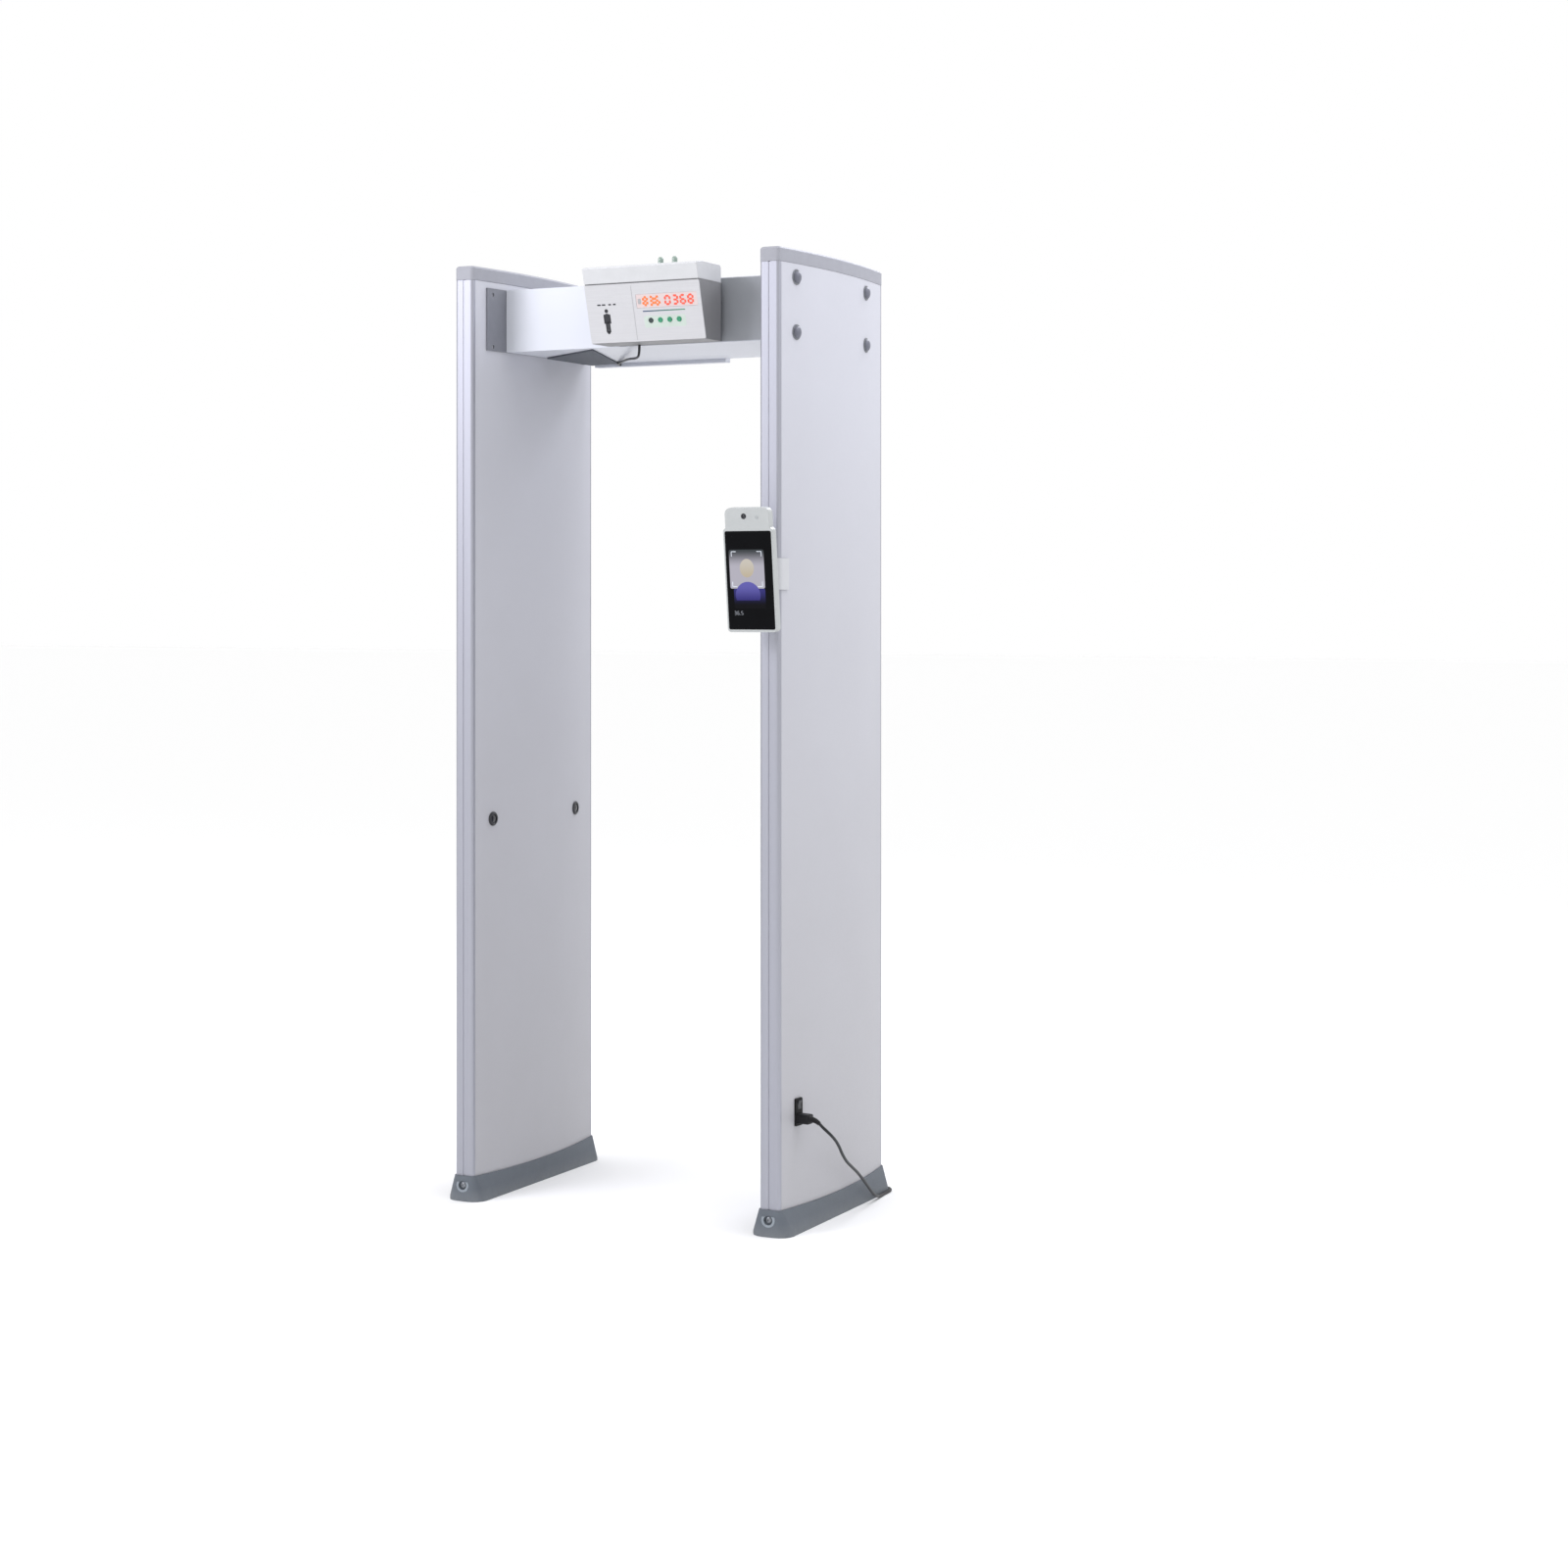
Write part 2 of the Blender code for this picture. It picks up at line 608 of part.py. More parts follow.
def nose_path(grow):
    """The column's front edge in plan, from its right side round to its left side."""
    radius = 0.009 + grow
    end = HALF_D - 0.009
    half = half_thickness(end) + 0.0006 - 0.009
    right = [(half_thickness(0.256) + 0.0006 + grow, -0.256)]
    right += arc(half, -end, radius, 0, -90, 5)
    return right + [(-x, y) for x, y in reversed(right)]


def terminal_clamp():
    """Clamp bent round the column's front edge, with the socket of the swivel in front."""
    path = nose_path(0.0038) + list(reversed(nose_path(GAP * 2)))
    body = put(prism(path, CLAMP_LOW, CLAMP_TOP), shift(COLUMN_X))
    neck = block(COLUMN_X - 0.011, COLUMN_X + 0.011, PAN_Y, -0.2925, CLAMP_LOW + 0.004, PAN_Z - GAP)
    boss = put(prism(circle(0.0120, 24), CLAMP_LOW + 0.004, PAN_Z - GAP), shift(COLUMN_X, PAN_Y))
    bore = put(prism(circle(0.0045, 16), CLAMP_LOW - 0.01, PAN_Z + 0.01), shift(COLUMN_X, PAN_Y))
    return boolean(join(body, [neck, boss]), [bore])


def pan_arm():
    """Swivel head with its pivot pin, and the fork and pin that carry the terminal."""
    disc = prism(circle(0.0120, 24), 0, 0.020)
    pivot = prism(circle(0.0040, 16), -0.020, 0.002)
    ahead = TILT_Y - PAN_Y
    high = TILT_Z - PAN_Z
    bar = block(-0.0115, 0.0115, ahead + 0.0110, 0, 0, 0.0175)
    ears = []
    for x in (-0.0115, 0.0070):
        ear = rod(0.0085, x, x + 0.0045, ahead, high, 20)
        arm = block(x, x + 0.0045, ahead, ahead + 0.0120, 0, 0.0160)
        ears += [ear, arm]
    pin = rod(0.0030, -0.0140, 0.0140, ahead, high, 16)
    return join(disc, [pivot, bar] + ears + [pin])


SHELL_W, SHELL_T = 0.120, 0.022
GLASS_W, GLASS_H = 0.112, 0.217
HEAD_TOP = 0.160                          # above the glass's middle
HEAD_W = 0.108
LENS = (-0.008, 0.141)


def shell_outline():
    """Phone-like slab with a narrower camera head on top."""
    low, shoulder = -GLASS_H / 2 - 0.006, GLASS_H / 2 + 0.004
    w, h = SHELL_W / 2, HEAD_W / 2
    right = arc(w - 0.008, low + 0.008, 0.008, -90, 0, 4)
    right += arc(w - 0.004, shoulder - 0.004, 0.004, 0, 60, 2)
    right += [(h, shoulder + 0.003)]
    right += arc(h - 0.014, HEAD_TOP - 0.014, 0.014, 0, 90, 5)
    return right + [(-x, y) for x, y in reversed(right)]


def terminal_shell(pivot):
    """Terminal housing with recesses for glass and lens, and the lug of the tilt hinge."""
    outline = shell_outline()
    shoulder = inset_outline(outline, 0.0025)
    front = 0.0
    body = loft([level(shoulder, front - SHELL_T), level(outline, front - SHELL_T + 0.003),
                 level(outline, front - 0.001), level(inset_outline(outline, 0.001), front)])
    recess = prism(rounded(GLASS_W + 2 * GAP, GLASS_H + 2 * GAP, 0.004, 3), -0.0020, 0.01)
    lens = put(prism(circle(0.0063), -0.006, 0.01), shift(*LENS))
    spine = pivot.y
    web = block(-0.0058, 0.0058, spine - 0.0065, spine + 0.0065, pivot.z + 0.001, -SHELL_T + 0.002)
    lug = rod(0.0080, -0.0062, 0.0062, spine, pivot.z, 20)
    eye = rod(0.0034, -0.02, 0.02, spine, pivot.z, 16)
    return boolean(join(body, [web, lug]), [recess, lens, eye])


pan_axis = bpy.data.objects.new("pan_axis", None)
bpy.context.scene.collection.objects.link(pan_axis)
pan_axis.parent = gate_frame
pan_axis.matrix_local = shift(COLUMN_X, PAN_Y, PAN_Z)
tilt_axis = bpy.data.objects.new("tilt_axis", None)
bpy.context.scene.collection.objects.link(tilt_axis)
tilt_axis.parent = pan_axis
tilt_axis.matrix_local = shift(0, TILT_Y - PAN_Y, TILT_Z - PAN_Z)

# The glass's frame: local X across, local Y up the screen, local Z out of it.
SCREEN_UP = Vector((0, -math.sin(TERMINAL_TILT), math.cos(TERMINAL_TILT)))
SCREEN_OUT = Vector((0, -math.cos(TERMINAL_TILT), -math.sin(TERMINAL_TILT)))
screen_frame = shift(0, TERMINAL_Y - TILT_Y, TERMINAL_Z - TILT_Z) @ Matrix(
    (Vector((1, 0, 0)), SCREEN_UP, SCREEN_OUT)).transposed().to_4x4()
hinge_on_screen = screen_frame.inverted() @ Vector((0, 0, 0))

glass = prism(rounded(GLASS_W, GLASS_H, 0.0037, 3), -0.0020 + GAP, -0.0001)
lens_barrel = turned([(0, -0.0010), (0.0035, -0.0012), (0.0050, 0.0006), (0.0060, 0.0006),
                      (0.0060, -0.0060 + GAP), (0, -0.0060 + GAP)], 20)
add("terminal_clamp", terminal_clamp(), "white")
add("terminal_pan_arm", pan_arm(), "white", parent=pan_axis)
add("terminal_shell", put(terminal_shell(hinge_on_screen), screen_frame), "white",
    parent=tilt_axis)
add("terminal_glass", put(glass, screen_frame), "glass", parent=tilt_axis)
add("terminal_lens", put(lens_barrel, screen_frame @ shift(*LENS)), "black", parent=tilt_axis)


# Power: inlet, switch, supply and mains lead --------------------------------------------------
ROCKER_UP = 0.0165
inlet_frame = face_frame(1, 1, INLET_Y, INLET_Z)


def inlet_module():
    """Panel inlet with a rocker switch above the socket, sunk through the face panel."""
    body, flange = rounded(0.0268, 0.0575, 0.0015), rounded(0.0300, 0.0620, 0.0030)
    rim = rounded(0.0284, 0.0604, 0.0025)
    module = loft([level(body, -0.026), level(body, GAP), level(flange, GAP),
                   level(flange, 0.0033), level(rim, 0.0043)])
    socket = prism(rounded(0.0245, 0.0165, 0.0025, 4, 0, -SOCKET_DROP), -0.0140, 0.02)
    well = prism(rounded(0.0140, 0.0216, 0.0010, 4, 0, ROCKER_UP), -0.0120, 0.02)
    return boolean(module, [socket, well])


def rocker():
    """Rocker pressed down at its lower end; it turns about local X."""
    angle = math.radians(7)
    half = 0.0098
    profile = [(-half, -0.0055), (half, -0.0055), (half, 0.0040), (0.0, 0.0022), (-half, 0.0040)]
    body = loft([[Vector((x, y, z)) for y, z in profile] for x in (-0.0065, 0.0065)])
    return put(body, Matrix.Rotation(angle, 4, "X"))


def power_connector():
    """Appliance connector in the socket, with a strain relief that bends down."""
    plug_in = rounded(0.0238, 0.0158, 0.0022)
    grip, grip_end = rounded(0.0262, 0.0215, 0.0040), rounded(0.0230, 0.0185, 0.0045)
    rings = [level(plug_in, -0.0125), level(plug_in, 0.0046), level(grip, 0.0046),
             level(grip, 0.0310), level(grip_end, 0.0355)]
    bend, length, steps = math.radians(40), 0.022, 5
    for i in range(steps + 1):
        turn = bend * i / steps
        radius = 0.0068 - 0.0022 * i / steps
        if turn:
            z = length / bend * math.sin(turn)
            y = -length / bend * (1 - math.cos(turn))
        else:
            z, y = 0.0, 0.0
        place = shift(0, y, 0.0360 + z) @ Matrix.Rotation(turn, 4, "X")
        # a rounded rectangle starts its points at the +X side, and so does the circle
        rings.append([place @ Vector((px, py, 0)) for px, py in circle(radius, 20)])
    return put(loft(rings), shift(0, -SOCKET_DROP, 0))


def smooth_path(points, spacing):
    """Even steps along a Catmull-Rom curve through the route's points."""
    route = [Vector(p) for p in points]
    route = [2 * route[0] - route[1]] + route + [2 * route[-1] - route[-2]]
    fine = []
    for a, b, c, d in zip(route, route[1:], route[2:], route[3:]):
        for i in range(24):
            t = i / 24
            fine.append(0.5 * (2 * b + (c - a) * t + (2 * a - 5 * b + 4 * c - d) * t * t
                               + (3 * b - a - 3 * c + d) * t ** 3))
    fine.append(route[-2])
    total = sum((b - a).length for a, b in zip(fine, fine[1:]))
    count = max(2, round(total / spacing))
    picked, walked, target = [fine[0]], 0.0, total / count
    for a, b in zip(fine, fine[1:]):
        step = (b - a).length
        while walked + step >= target * len(picked) and len(picked) < count:
            picked.append(a.lerp(b, (target * len(picked) - walked) / step))
        walked += step
    return picked + [fine[-1]]


def add_tube(name, points, diameter, look, spacing, resolution=3):
    """A cord as a curve with a round bevel and closed ends."""
    curve = bpy.data.curves.new(name, "CURVE")
    curve.dimensions = "3D"
    curve.bevel_depth = diameter / 2
    curve.bevel_resolution = resolution
    curve.use_fill_caps = True
    path = smooth_path(points, spacing)
    spline = curve.splines.new("POLY")
    spline.points.add(len(path) - 1)
    for point, place in zip(spline.points, path):
        point.co = (*place, 1.0)
    obj = bpy.data.objects.new(name, curve)
    bpy.context.scene.collection.objects.link(obj)
    obj.parent = gate_frame
    paint(obj, look)


# Route of the mains lead: out of the strain relief, down past the shoe, round its rear corner.
CORD_ROUTE = [
    (0.4867, -0.2183, 0.2461), (0.4948, -0.2186, 0.2392), (0.5020, -0.2158, 0.2320),
    (0.5068, -0.2082, 0.2240), (0.5088, -0.1960, 0.2150), (0.5085, -0.1790, 0.2040),
    (0.5058, -0.1540, 0.1860), (0.5010, -0.1260, 0.1650), (0.4950, -0.0880, 0.1410),
    (0.4888, -0.0440, 0.1200), (0.4825, 0.0010, 0.0990), (0.4762, 0.0450, 0.0760),
    (0.4697, 0.0880, 0.0520), (0.4635, 0.1300, 0.0280), (0.4580, 0.1680, 0.0115),
    (0.4535, 0.2050, 0.0048), (0.4505, 0.2400, 0.0038), (0.4494, 0.2680, 0.0038),
    (0.4440, 0.2865, 0.0038), (0.4305, 0.2998, 0.0038), (0.4120, 0.3060, 0.0038),
    (0.3850, 0.3125, 0.0038), (0.3550, 0.3215, 0.0038), (0.3200, 0.3293, 0.0038),
    (0.2860, 0.3315, 0.0038),
]
# Route of the control lead, under the crossbeam to the rear bay.
LEAD_ROUTE = [
    (0.0250, -0.2050, 2.0032), (0.0243, -0.2040, 1.9954), (0.0219, -0.2003, 1.9882),
    (0.0184, -0.1950, 1.9828), (0.0141, -0.1885, 1.9800), (0.0020, -0.1700, 1.9786),
    (-0.0150, -0.1440, 1.9792), (-0.0400, -0.1080, 1.9815), (-0.0800, -0.0500, 1.9868),
    (-0.1250, 0.0180, 1.9920), (-0.1700, 0.0850, 1.9960), (-0.2100, 0.1430, 1.9985),
    (-0.2400, 0.1880, 1.9998), (-0.2565, 0.2150, 1.9999), (-0.2620, 0.2347, 1.9999),
]


def cord_coil():
    """Outer shape of the spare lead, wound flat on the floor in two layers."""
    bm = bmesh.new()
    loop = [bm.verts.new((r, 0, z)) for r, z in (
        (COIL_INNER, 0.0003), (COIL_OUTER, 0.0003), (COIL_OUTER, COIL_H), (COIL_INNER, COIL_H))]
    edges = [bm.edges.new((loop[i], loop[(i + 1) % 4])) for i in range(4)]
    bmesh.ops.spin(bm, geom=loop + edges, cent=(0, 0, 0), axis=(0, 0, 1),
                   angle=2 * math.pi, steps=32, use_duplicate=False)
    bmesh.ops.remove_doubles(bm, verts=bm.verts, dist=1e-6)
    return bm


def mains_plug():
    """Two-pin plug lying on its flat side; local Z runs along it, from cord to pins."""
    def oval(radius, flat):
        return [(x, y * flat) for x, y in circle(radius, 20)]
    stations = ((0.0045, 1.0, 0.0), (0.0062, 1.0, 0.026), (0.0120, 0.90, 0.030),
                (0.0175, 0.75, 0.044), (0.0180, 0.75, 0.062), (0.0165, 0.75, 0.065))
    body = loft([level(oval(r, flat), z) for r, flat, z in stations])
    pins = [put(prism(circle(0.0024, 12), 0.060, 0.083), shift(x)) for x in (-0.0095, 0.0095)]
    return join(body, pins)


POWER_SUPPLY = (COLUMN_X - 0.017, COLUMN_X + 0.017, -0.135, -0.040, 0.110, 0.290)

add("inlet_module", inlet_module(), "black", inlet_frame)
add("rocker_switch", rocker(), "black", inlet_frame @ shift(0, ROCKER_UP, 0.0024))
add("power_supply", block(*POWER_SUPPLY), "steel")
add("power_connector", power_connector(), "black", inlet_frame)
add_tube("power_cord", CORD_ROUTE, CORD_D, "black", 0.018)
add("power_cord_coil", cord_coil(), "black", shift(COIL_X, COIL_Y, 0))
plug_x = COIL_X - COIL_OUTER - 0.0045 - GAP
lying = Matrix.Rotation(math.radians(-90), 4, "X")
add("mains_plug", mains_plug(), "black", shift(plug_x, COIL_Y + 0.002, 0.0139) @ lying)
add_tube("control_lead", LEAD_ROUTE, LEAD_D, "black", 0.0075, 2)
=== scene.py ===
import math

import bmesh
import bpy
from mathutils import Matrix, Vector


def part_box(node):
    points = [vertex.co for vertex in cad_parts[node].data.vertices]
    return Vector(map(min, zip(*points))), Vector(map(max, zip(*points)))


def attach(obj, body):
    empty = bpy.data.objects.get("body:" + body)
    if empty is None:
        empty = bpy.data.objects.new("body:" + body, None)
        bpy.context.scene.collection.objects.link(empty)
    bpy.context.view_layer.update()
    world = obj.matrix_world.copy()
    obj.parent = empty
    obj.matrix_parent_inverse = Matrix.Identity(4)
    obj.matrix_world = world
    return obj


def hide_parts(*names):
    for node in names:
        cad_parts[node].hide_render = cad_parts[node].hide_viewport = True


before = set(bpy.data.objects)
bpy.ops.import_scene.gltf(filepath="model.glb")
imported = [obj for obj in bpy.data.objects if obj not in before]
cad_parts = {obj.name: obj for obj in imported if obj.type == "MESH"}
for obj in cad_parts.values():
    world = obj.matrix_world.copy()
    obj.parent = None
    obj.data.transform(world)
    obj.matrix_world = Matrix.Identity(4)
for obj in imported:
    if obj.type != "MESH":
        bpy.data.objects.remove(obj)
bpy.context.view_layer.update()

# Camera ---------------------------------------------------------------------------------------
# A level view through a long lens, from the visitor's side and a little to the gate's right.
# The shift frames the gate high and left of the lens's axis, as a view camera would.
camera_data = bpy.data.cameras.new("camera")
camera_data.sensor_width = 36.0
camera_data.lens = 64.9
camera_data.shift_x = 0.10
camera_data.shift_y = -0.1188
camera = bpy.data.objects.new("camera", camera_data)
camera.location = (3.0834, -5.9198, 1.4191)
camera.rotation_euler = (math.radians(90), 0.0, 0.4918)
bpy.context.scene.collection.objects.link(camera)
bpy.context.scene.camera = camera


# Mains lead -----------------------------------------------------------------------------------
# A 7 mm PVC-sheathed appliance lead. It leaves the connector's strain relief, hangs to the floor,
# goes round the right shoe's rear end and lies in a flat coil of two layers behind the column.
CORD_D = 0.007
CORD_ROUTE = [
    (0.4867, -0.2183, 0.2461), (0.4948, -0.2186, 0.2392), (0.5020, -0.2158, 0.2320),
    (0.5068, -0.2082, 0.2240), (0.5088, -0.1960, 0.2150), (0.5085, -0.1790, 0.2040),
    (0.5058, -0.1540, 0.1860), (0.5010, -0.1260, 0.1650), (0.4950, -0.0880, 0.1410),
    (0.4888, -0.0440, 0.1200), (0.4825, 0.0010, 0.0990), (0.4762, 0.0450, 0.0760),
    (0.4697, 0.0880, 0.0520), (0.4635, 0.1300, 0.0280), (0.4580, 0.1680, 0.0115),
    (0.4535, 0.2050, 0.0048), (0.4505, 0.2400, 0.0038), (0.4494, 0.2680, 0.0038),
    (0.4440, 0.2865, 0.0038), (0.4305, 0.2998, 0.0038), (0.4120, 0.3060, 0.0038),
    (0.3850, 0.3125, 0.0038), (0.3550, 0.3215, 0.0038), (0.3200, 0.3293, 0.0038),
]
# The coil's turns: how many turns in, distance from the coil's middle, height of the axis.
COIL_TURNS = [
    (0.0, 0.0535, 0.0038), (0.25, 0.0475, 0.0038), (1.25, 0.0402, 0.0038),
    (2.25, 0.0329, 0.0038), (2.6, 0.0318, 0.0109), (3.25, 0.0365, 0.0109),
    (3.85, 0.0430, 0.0109), (4.25, 0.0543, 0.0136),
]
KNOTS_PER_TURN = 16

shoe_low, shoe_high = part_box("right_shoe")
gate_y = (shoe_low.y + shoe_high.y) / 2   # the routes count depth from the columns' middle
coil_low, coil_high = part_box("power_cord_coil")
coil = (coil_low + coil_high) / 2
plug_low, plug_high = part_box("mains_plug")


def linear(code):
    """An sRGB hex colour as the linear RGBA that a shader takes."""
    parts = [int(code[i:i + 2], 16) / 255 for i in (1, 3, 5)]
    parts = [c / 12.92 if c <= 0.04045 else ((c + 0.055) / 1.055) ** 2.4 for c in parts]
    return (*parts, 1.0)


def add_node(tree, kind, settings, inputs):
    """One shader node with its settings; an input is a value or another node's output.

    A Mix node's factor is input 0, and its two colours are inputs 6 and 7."""
    node = tree.nodes.new("ShaderNode" + kind)
    for key, value in settings.items():
        setattr(node, key, value)
    for key, value in inputs.items():
        if isinstance(value, bpy.types.NodeSocket):
            tree.links.new(value, node.inputs[key])
        else:
            node.inputs[key].default_value = value
    return node


def surface(name, **values):
    """A named material and its shader, with plain values on the shader's own sockets."""
    material = bpy.data.materials.new(name)
    material.use_nodes = True
    shader = material.node_tree.nodes["Principled BSDF"]
    for key, value in values.items():
        shader.inputs[key.replace("_", " ")].default_value = value
    return material, shader


def per(millimetres):
    """The scale that gives a texture cells of this many millimetres."""
    return 1000.0 / millimetres


GLOSS_LOSS, GLOSS_GAIN = 0.05, 0.07       # how far a grain moves the roughness down and up


def plastic(name, colour, worn, roughness, grain, relief=0.00006, mottle=35.0, coat=0.0,
            gleam=0.5):
    """Moulded or coated surface: colour clouds, a fine grain in the gloss, and its relief.

    The grain and the mottle are in millimetres. Eroded, sprayed and printed grains are finer
    than a millimetre in life, and are drawn as coarse as they need to show."""
    material, shader = surface(name, IOR=1.50, Specular_IOR_Level=gleam, Coat_Weight=coat,
                               Coat_Roughness=0.12)
    tree = material.node_tree
    place = add_node(tree, "TexCoord", {}, {}).outputs["Object"]
    clouds = add_node(tree, "TexNoise", {}, {"Vector": place, "Scale": per(mottle), "Detail": 4.0,
                                             "Roughness": 0.6})
    tint = add_node(tree, "Mix", {"data_type": "RGBA"},
                    {0: clouds.outputs["Fac"], 6: linear(worn), 7: linear(colour)})
    tree.links.new(tint.outputs[2], shader.inputs["Base Color"])
    fine = add_node(tree, "TexNoise", {}, {"Vector": place, "Scale": per(grain), "Detail": 3.0})
    gloss = add_node(tree, "MapRange", {}, {"Value": fine.outputs["Fac"], "From Min": 0.3,
                                            "From Max": 0.7,
                                            "To Min": roughness - GLOSS_LOSS,
                                            "To Max": roughness + GLOSS_GAIN})
    tree.links.new(gloss.outputs["Result"], shader.inputs["Roughness"])
    bump = add_node(tree, "Bump", {}, {"Height": fine.outputs["Fac"], "Distance": relief,
                                       "Strength": 0.8})
    tree.links.new(bump.outputs["Normal"], shader.inputs["Normal"])
    return material


def lay_cord(name, points, diameter, finish):
    """A round cord along smooth knots."""
    curve = bpy.data.curves.new(name, "CURVE")
    curve.dimensions = "3D"
    curve.resolution_u = 6
    curve.bevel_depth = diameter / 2
    curve.bevel_resolution = 4
    curve.use_fill_caps = True
    spline = curve.splines.new("BEZIER")
    spline.bezier_points.add(len(points) - 1)
    for knot, place in zip(spline.bezier_points, points):
        knot.co = place
        knot.handle_left_type = knot.handle_right_type = "AUTO"
    cord = bpy.data.objects.new(name, curve)
    bpy.context.scene.collection.objects.link(cord)
    curve.materials.append(finish)
    return cord


def coil_knots():
    """Knots of the coil, clockwise seen from above, from its front round to the plug."""
    knots = []
    for (t0, r0, z0), (t1, r1, z1) in zip(COIL_TURNS, COIL_TURNS[1:]):
        steps = max(2, round((t1 - t0) * KNOTS_PER_TURN))
        for i in range(steps):
            share = i / steps
            angle = -math.pi / 2 - 2 * math.pi * (t0 + (t1 - t0) * share)
            radius = r0 + (r1 - r0) * share
            knots.append(Vector((coil.x + radius * math.cos(angle),
                                 coil.y + radius * math.sin(angle), z0 + (z1 - z0) * share)))
    return knots


plug_axis = Vector(((plug_low.x + plug_high.x) / 2, plug_low.y, (plug_low.z + plug_high.z) / 2))
route = [Vector(p) + Vector((0, gate_y, 0)) for p in CORD_ROUTE] + coil_knots()
# the last two knots lie inside the plug's strain relief
route += [plug_axis + Vector((0, depth, 0)) for depth in (0.001, 0.012)]
# Plasticised PVC: soft satin black, faintly uneven from the extruder.
sheath = plastic("extruded_pvc_sheath", "#26272b", "#1b1c1f", 0.42, 2.5, 0.00004, gleam=0.3)
power_lead = lay_cord("power_lead", route, CORD_D, sheath)
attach(power_lead, "gate")
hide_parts("power_cord", "power_cord_coil")


# Connector and plug on the mains lead ---------------------------------------------------------
# Both are soft PVC moulded round the lead's end. The connector's ribbed strain relief bends down
# with the lead; the plug lies on its flat side and has two nickel-plated brass pins.
BEVEL_STEPS = 3


def finished(name, bm, finish, replaced=(), body="gate", bevel=0.0, sharp=35.0):
    """A made piece in the scene: rounded edges, smooth faces, finish and body."""
    if bevel:
        hard = [e for e in bm.edges
                if len(e.link_faces) == 2 and e.calc_face_angle(0) > math.radians(sharp)]
        bmesh.ops.bevel(bm, geom=hard, offset=bevel, offset_type="OFFSET",
                        segments=BEVEL_STEPS, profile=0.5, affect="EDGES", material=-1,
                        clamp_overlap=True)
    mesh = bpy.data.meshes.new(name)
    bm.to_mesh(mesh)
    bm.free()
    mesh.shade_smooth()
    mesh.set_sharp_from_angle(angle=math.radians(sharp))
    piece = bpy.data.objects.new(name, mesh)
    bpy.context.scene.collection.objects.link(piece)
    mesh.materials.append(finish)
    weighted = piece.modifiers.new("flat faces stay flat", "WEIGHTED_NORMAL")
    weighted.keep_sharp = True
    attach(piece, body)
    if replaced:
        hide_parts(*([replaced] if isinstance(replaced, str) else replaced))
    return piece


def draw_out(bm, rings):
    """Pull a round rim through a row of rings, each a matrix with X and Y radius, and close it."""
    first = bmesh.ops.create_circle(bm, segments=32, radius=1.0, cap_ends=True)["verts"]
    shape = [v.co.copy() for v in first]
    rim = [e for e in bm.edges if all(v in first for v in e.verts)]
    verts = first
    for number, (place, rx, ry) in enumerate(rings):
        if number:
            made = bmesh.ops.extrude_edge_only(bm, edges=rim)["geom"]
            rim = [g for g in made if isinstance(g, bmesh.types.BMEdge)
                   and all(v in made for v in g.verts)]
            fresh = [g for g in made if isinstance(g, bmesh.types.BMVert)]
            # an extruded rim comes back in its own order, so each point looks up its ring place
            verts = [min(fresh, key=lambda v: (v.co - old.co).length) for old in verts]
        for v, unit in zip(verts, shape):
            v.co = place @ Vector((unit.x * rx, unit.y * ry, 0))
    bmesh.ops.contextual_create(bm, geom=rim)
    bmesh.ops.recalc_face_normals(bm, faces=bm.faces)
    return bm


GROOVE_SHARE = 0.86                       # a strain relief's radius in its grooves


def ribbed(length, bend, first, last, ribs):
    """Rings of a strain relief: ribs and grooves along a bend in the local YZ plane."""
    rings = []
    for i in range(4 * ribs + 1):
        share = i / (4 * ribs)
        turn = bend * share
        swing = length / bend if bend else 0.0
        z = swing * math.sin(turn) if bend else length * share
        y = -swing * (1 - math.cos(turn)) if bend else 0.0
        radius = (first + (last - first) * share) * (GROOVE_SHARE if i % 4 in (2, 3) else 1.0)
        rings.append((Matrix.Translation((0, y, z)) @ Matrix.Rotation(turn, 4, "X"),
                      radius, radius))
    return rings


# A column: its thickness at the edges, how far each face bulges, and half of its depth.
EDGE_T, BULGE, HALF_D = 0.046, 0.022, 0.290
column_x = (shoe_low.x + shoe_high.x) / 2
INLET = (-0.212, 0.268)                   # depth and height of the inlet's middle
SOCKET_DROP = 0.014                       # the socket sits below it, the rocker above


def half_thickness(y):
    """Half of a column's thickness at depth y from its middle."""
    return EDGE_T / 2 + BULGE * (1 - (y / HALF_D) ** 2)


def face_frame(side, face, y, z):
    """Frame on a column's face: side is the column, face the way it looks along X."""
    slope = -2 * BULGE * y / HALF_D ** 2
    out = Vector((face, -slope, 0)).normalized()
    up = Vector((0, 0, 1))
    turn = Matrix((up.cross(out), up, out)).transposed().to_4x4()
    x = side * column_x + face * half_thickness(y)
    return Matrix.Translation((x, gate_y + y, z)) @ turn


# The socket's frame: local Z out of the right column's outer face, local Y up.
socket_place = face_frame(1, 1, *INLET) @ Matrix.Translation((0, -SOCKET_DROP, 0))
# Moulded PVC with a fine eroded grain: matt black, with hardly a highlight.
moulded_pvc = plastic("moulded_pvc", "#1a1a1d", "#131315", 0.52, 1.6, 0.00005, gleam=0.25)


def box_mesh(bm, width, height, z0, z1):
    """A block centred on local Z, between two heights."""
    made = bmesh.ops.create_cube(bm, size=1.0)["verts"]
    bmesh.ops.scale(bm, vec=(width, height, z1 - z0), verts=made)
    bmesh.ops.translate(bm, vec=(0, 0, (z0 + z1) / 2), verts=made)
    return made


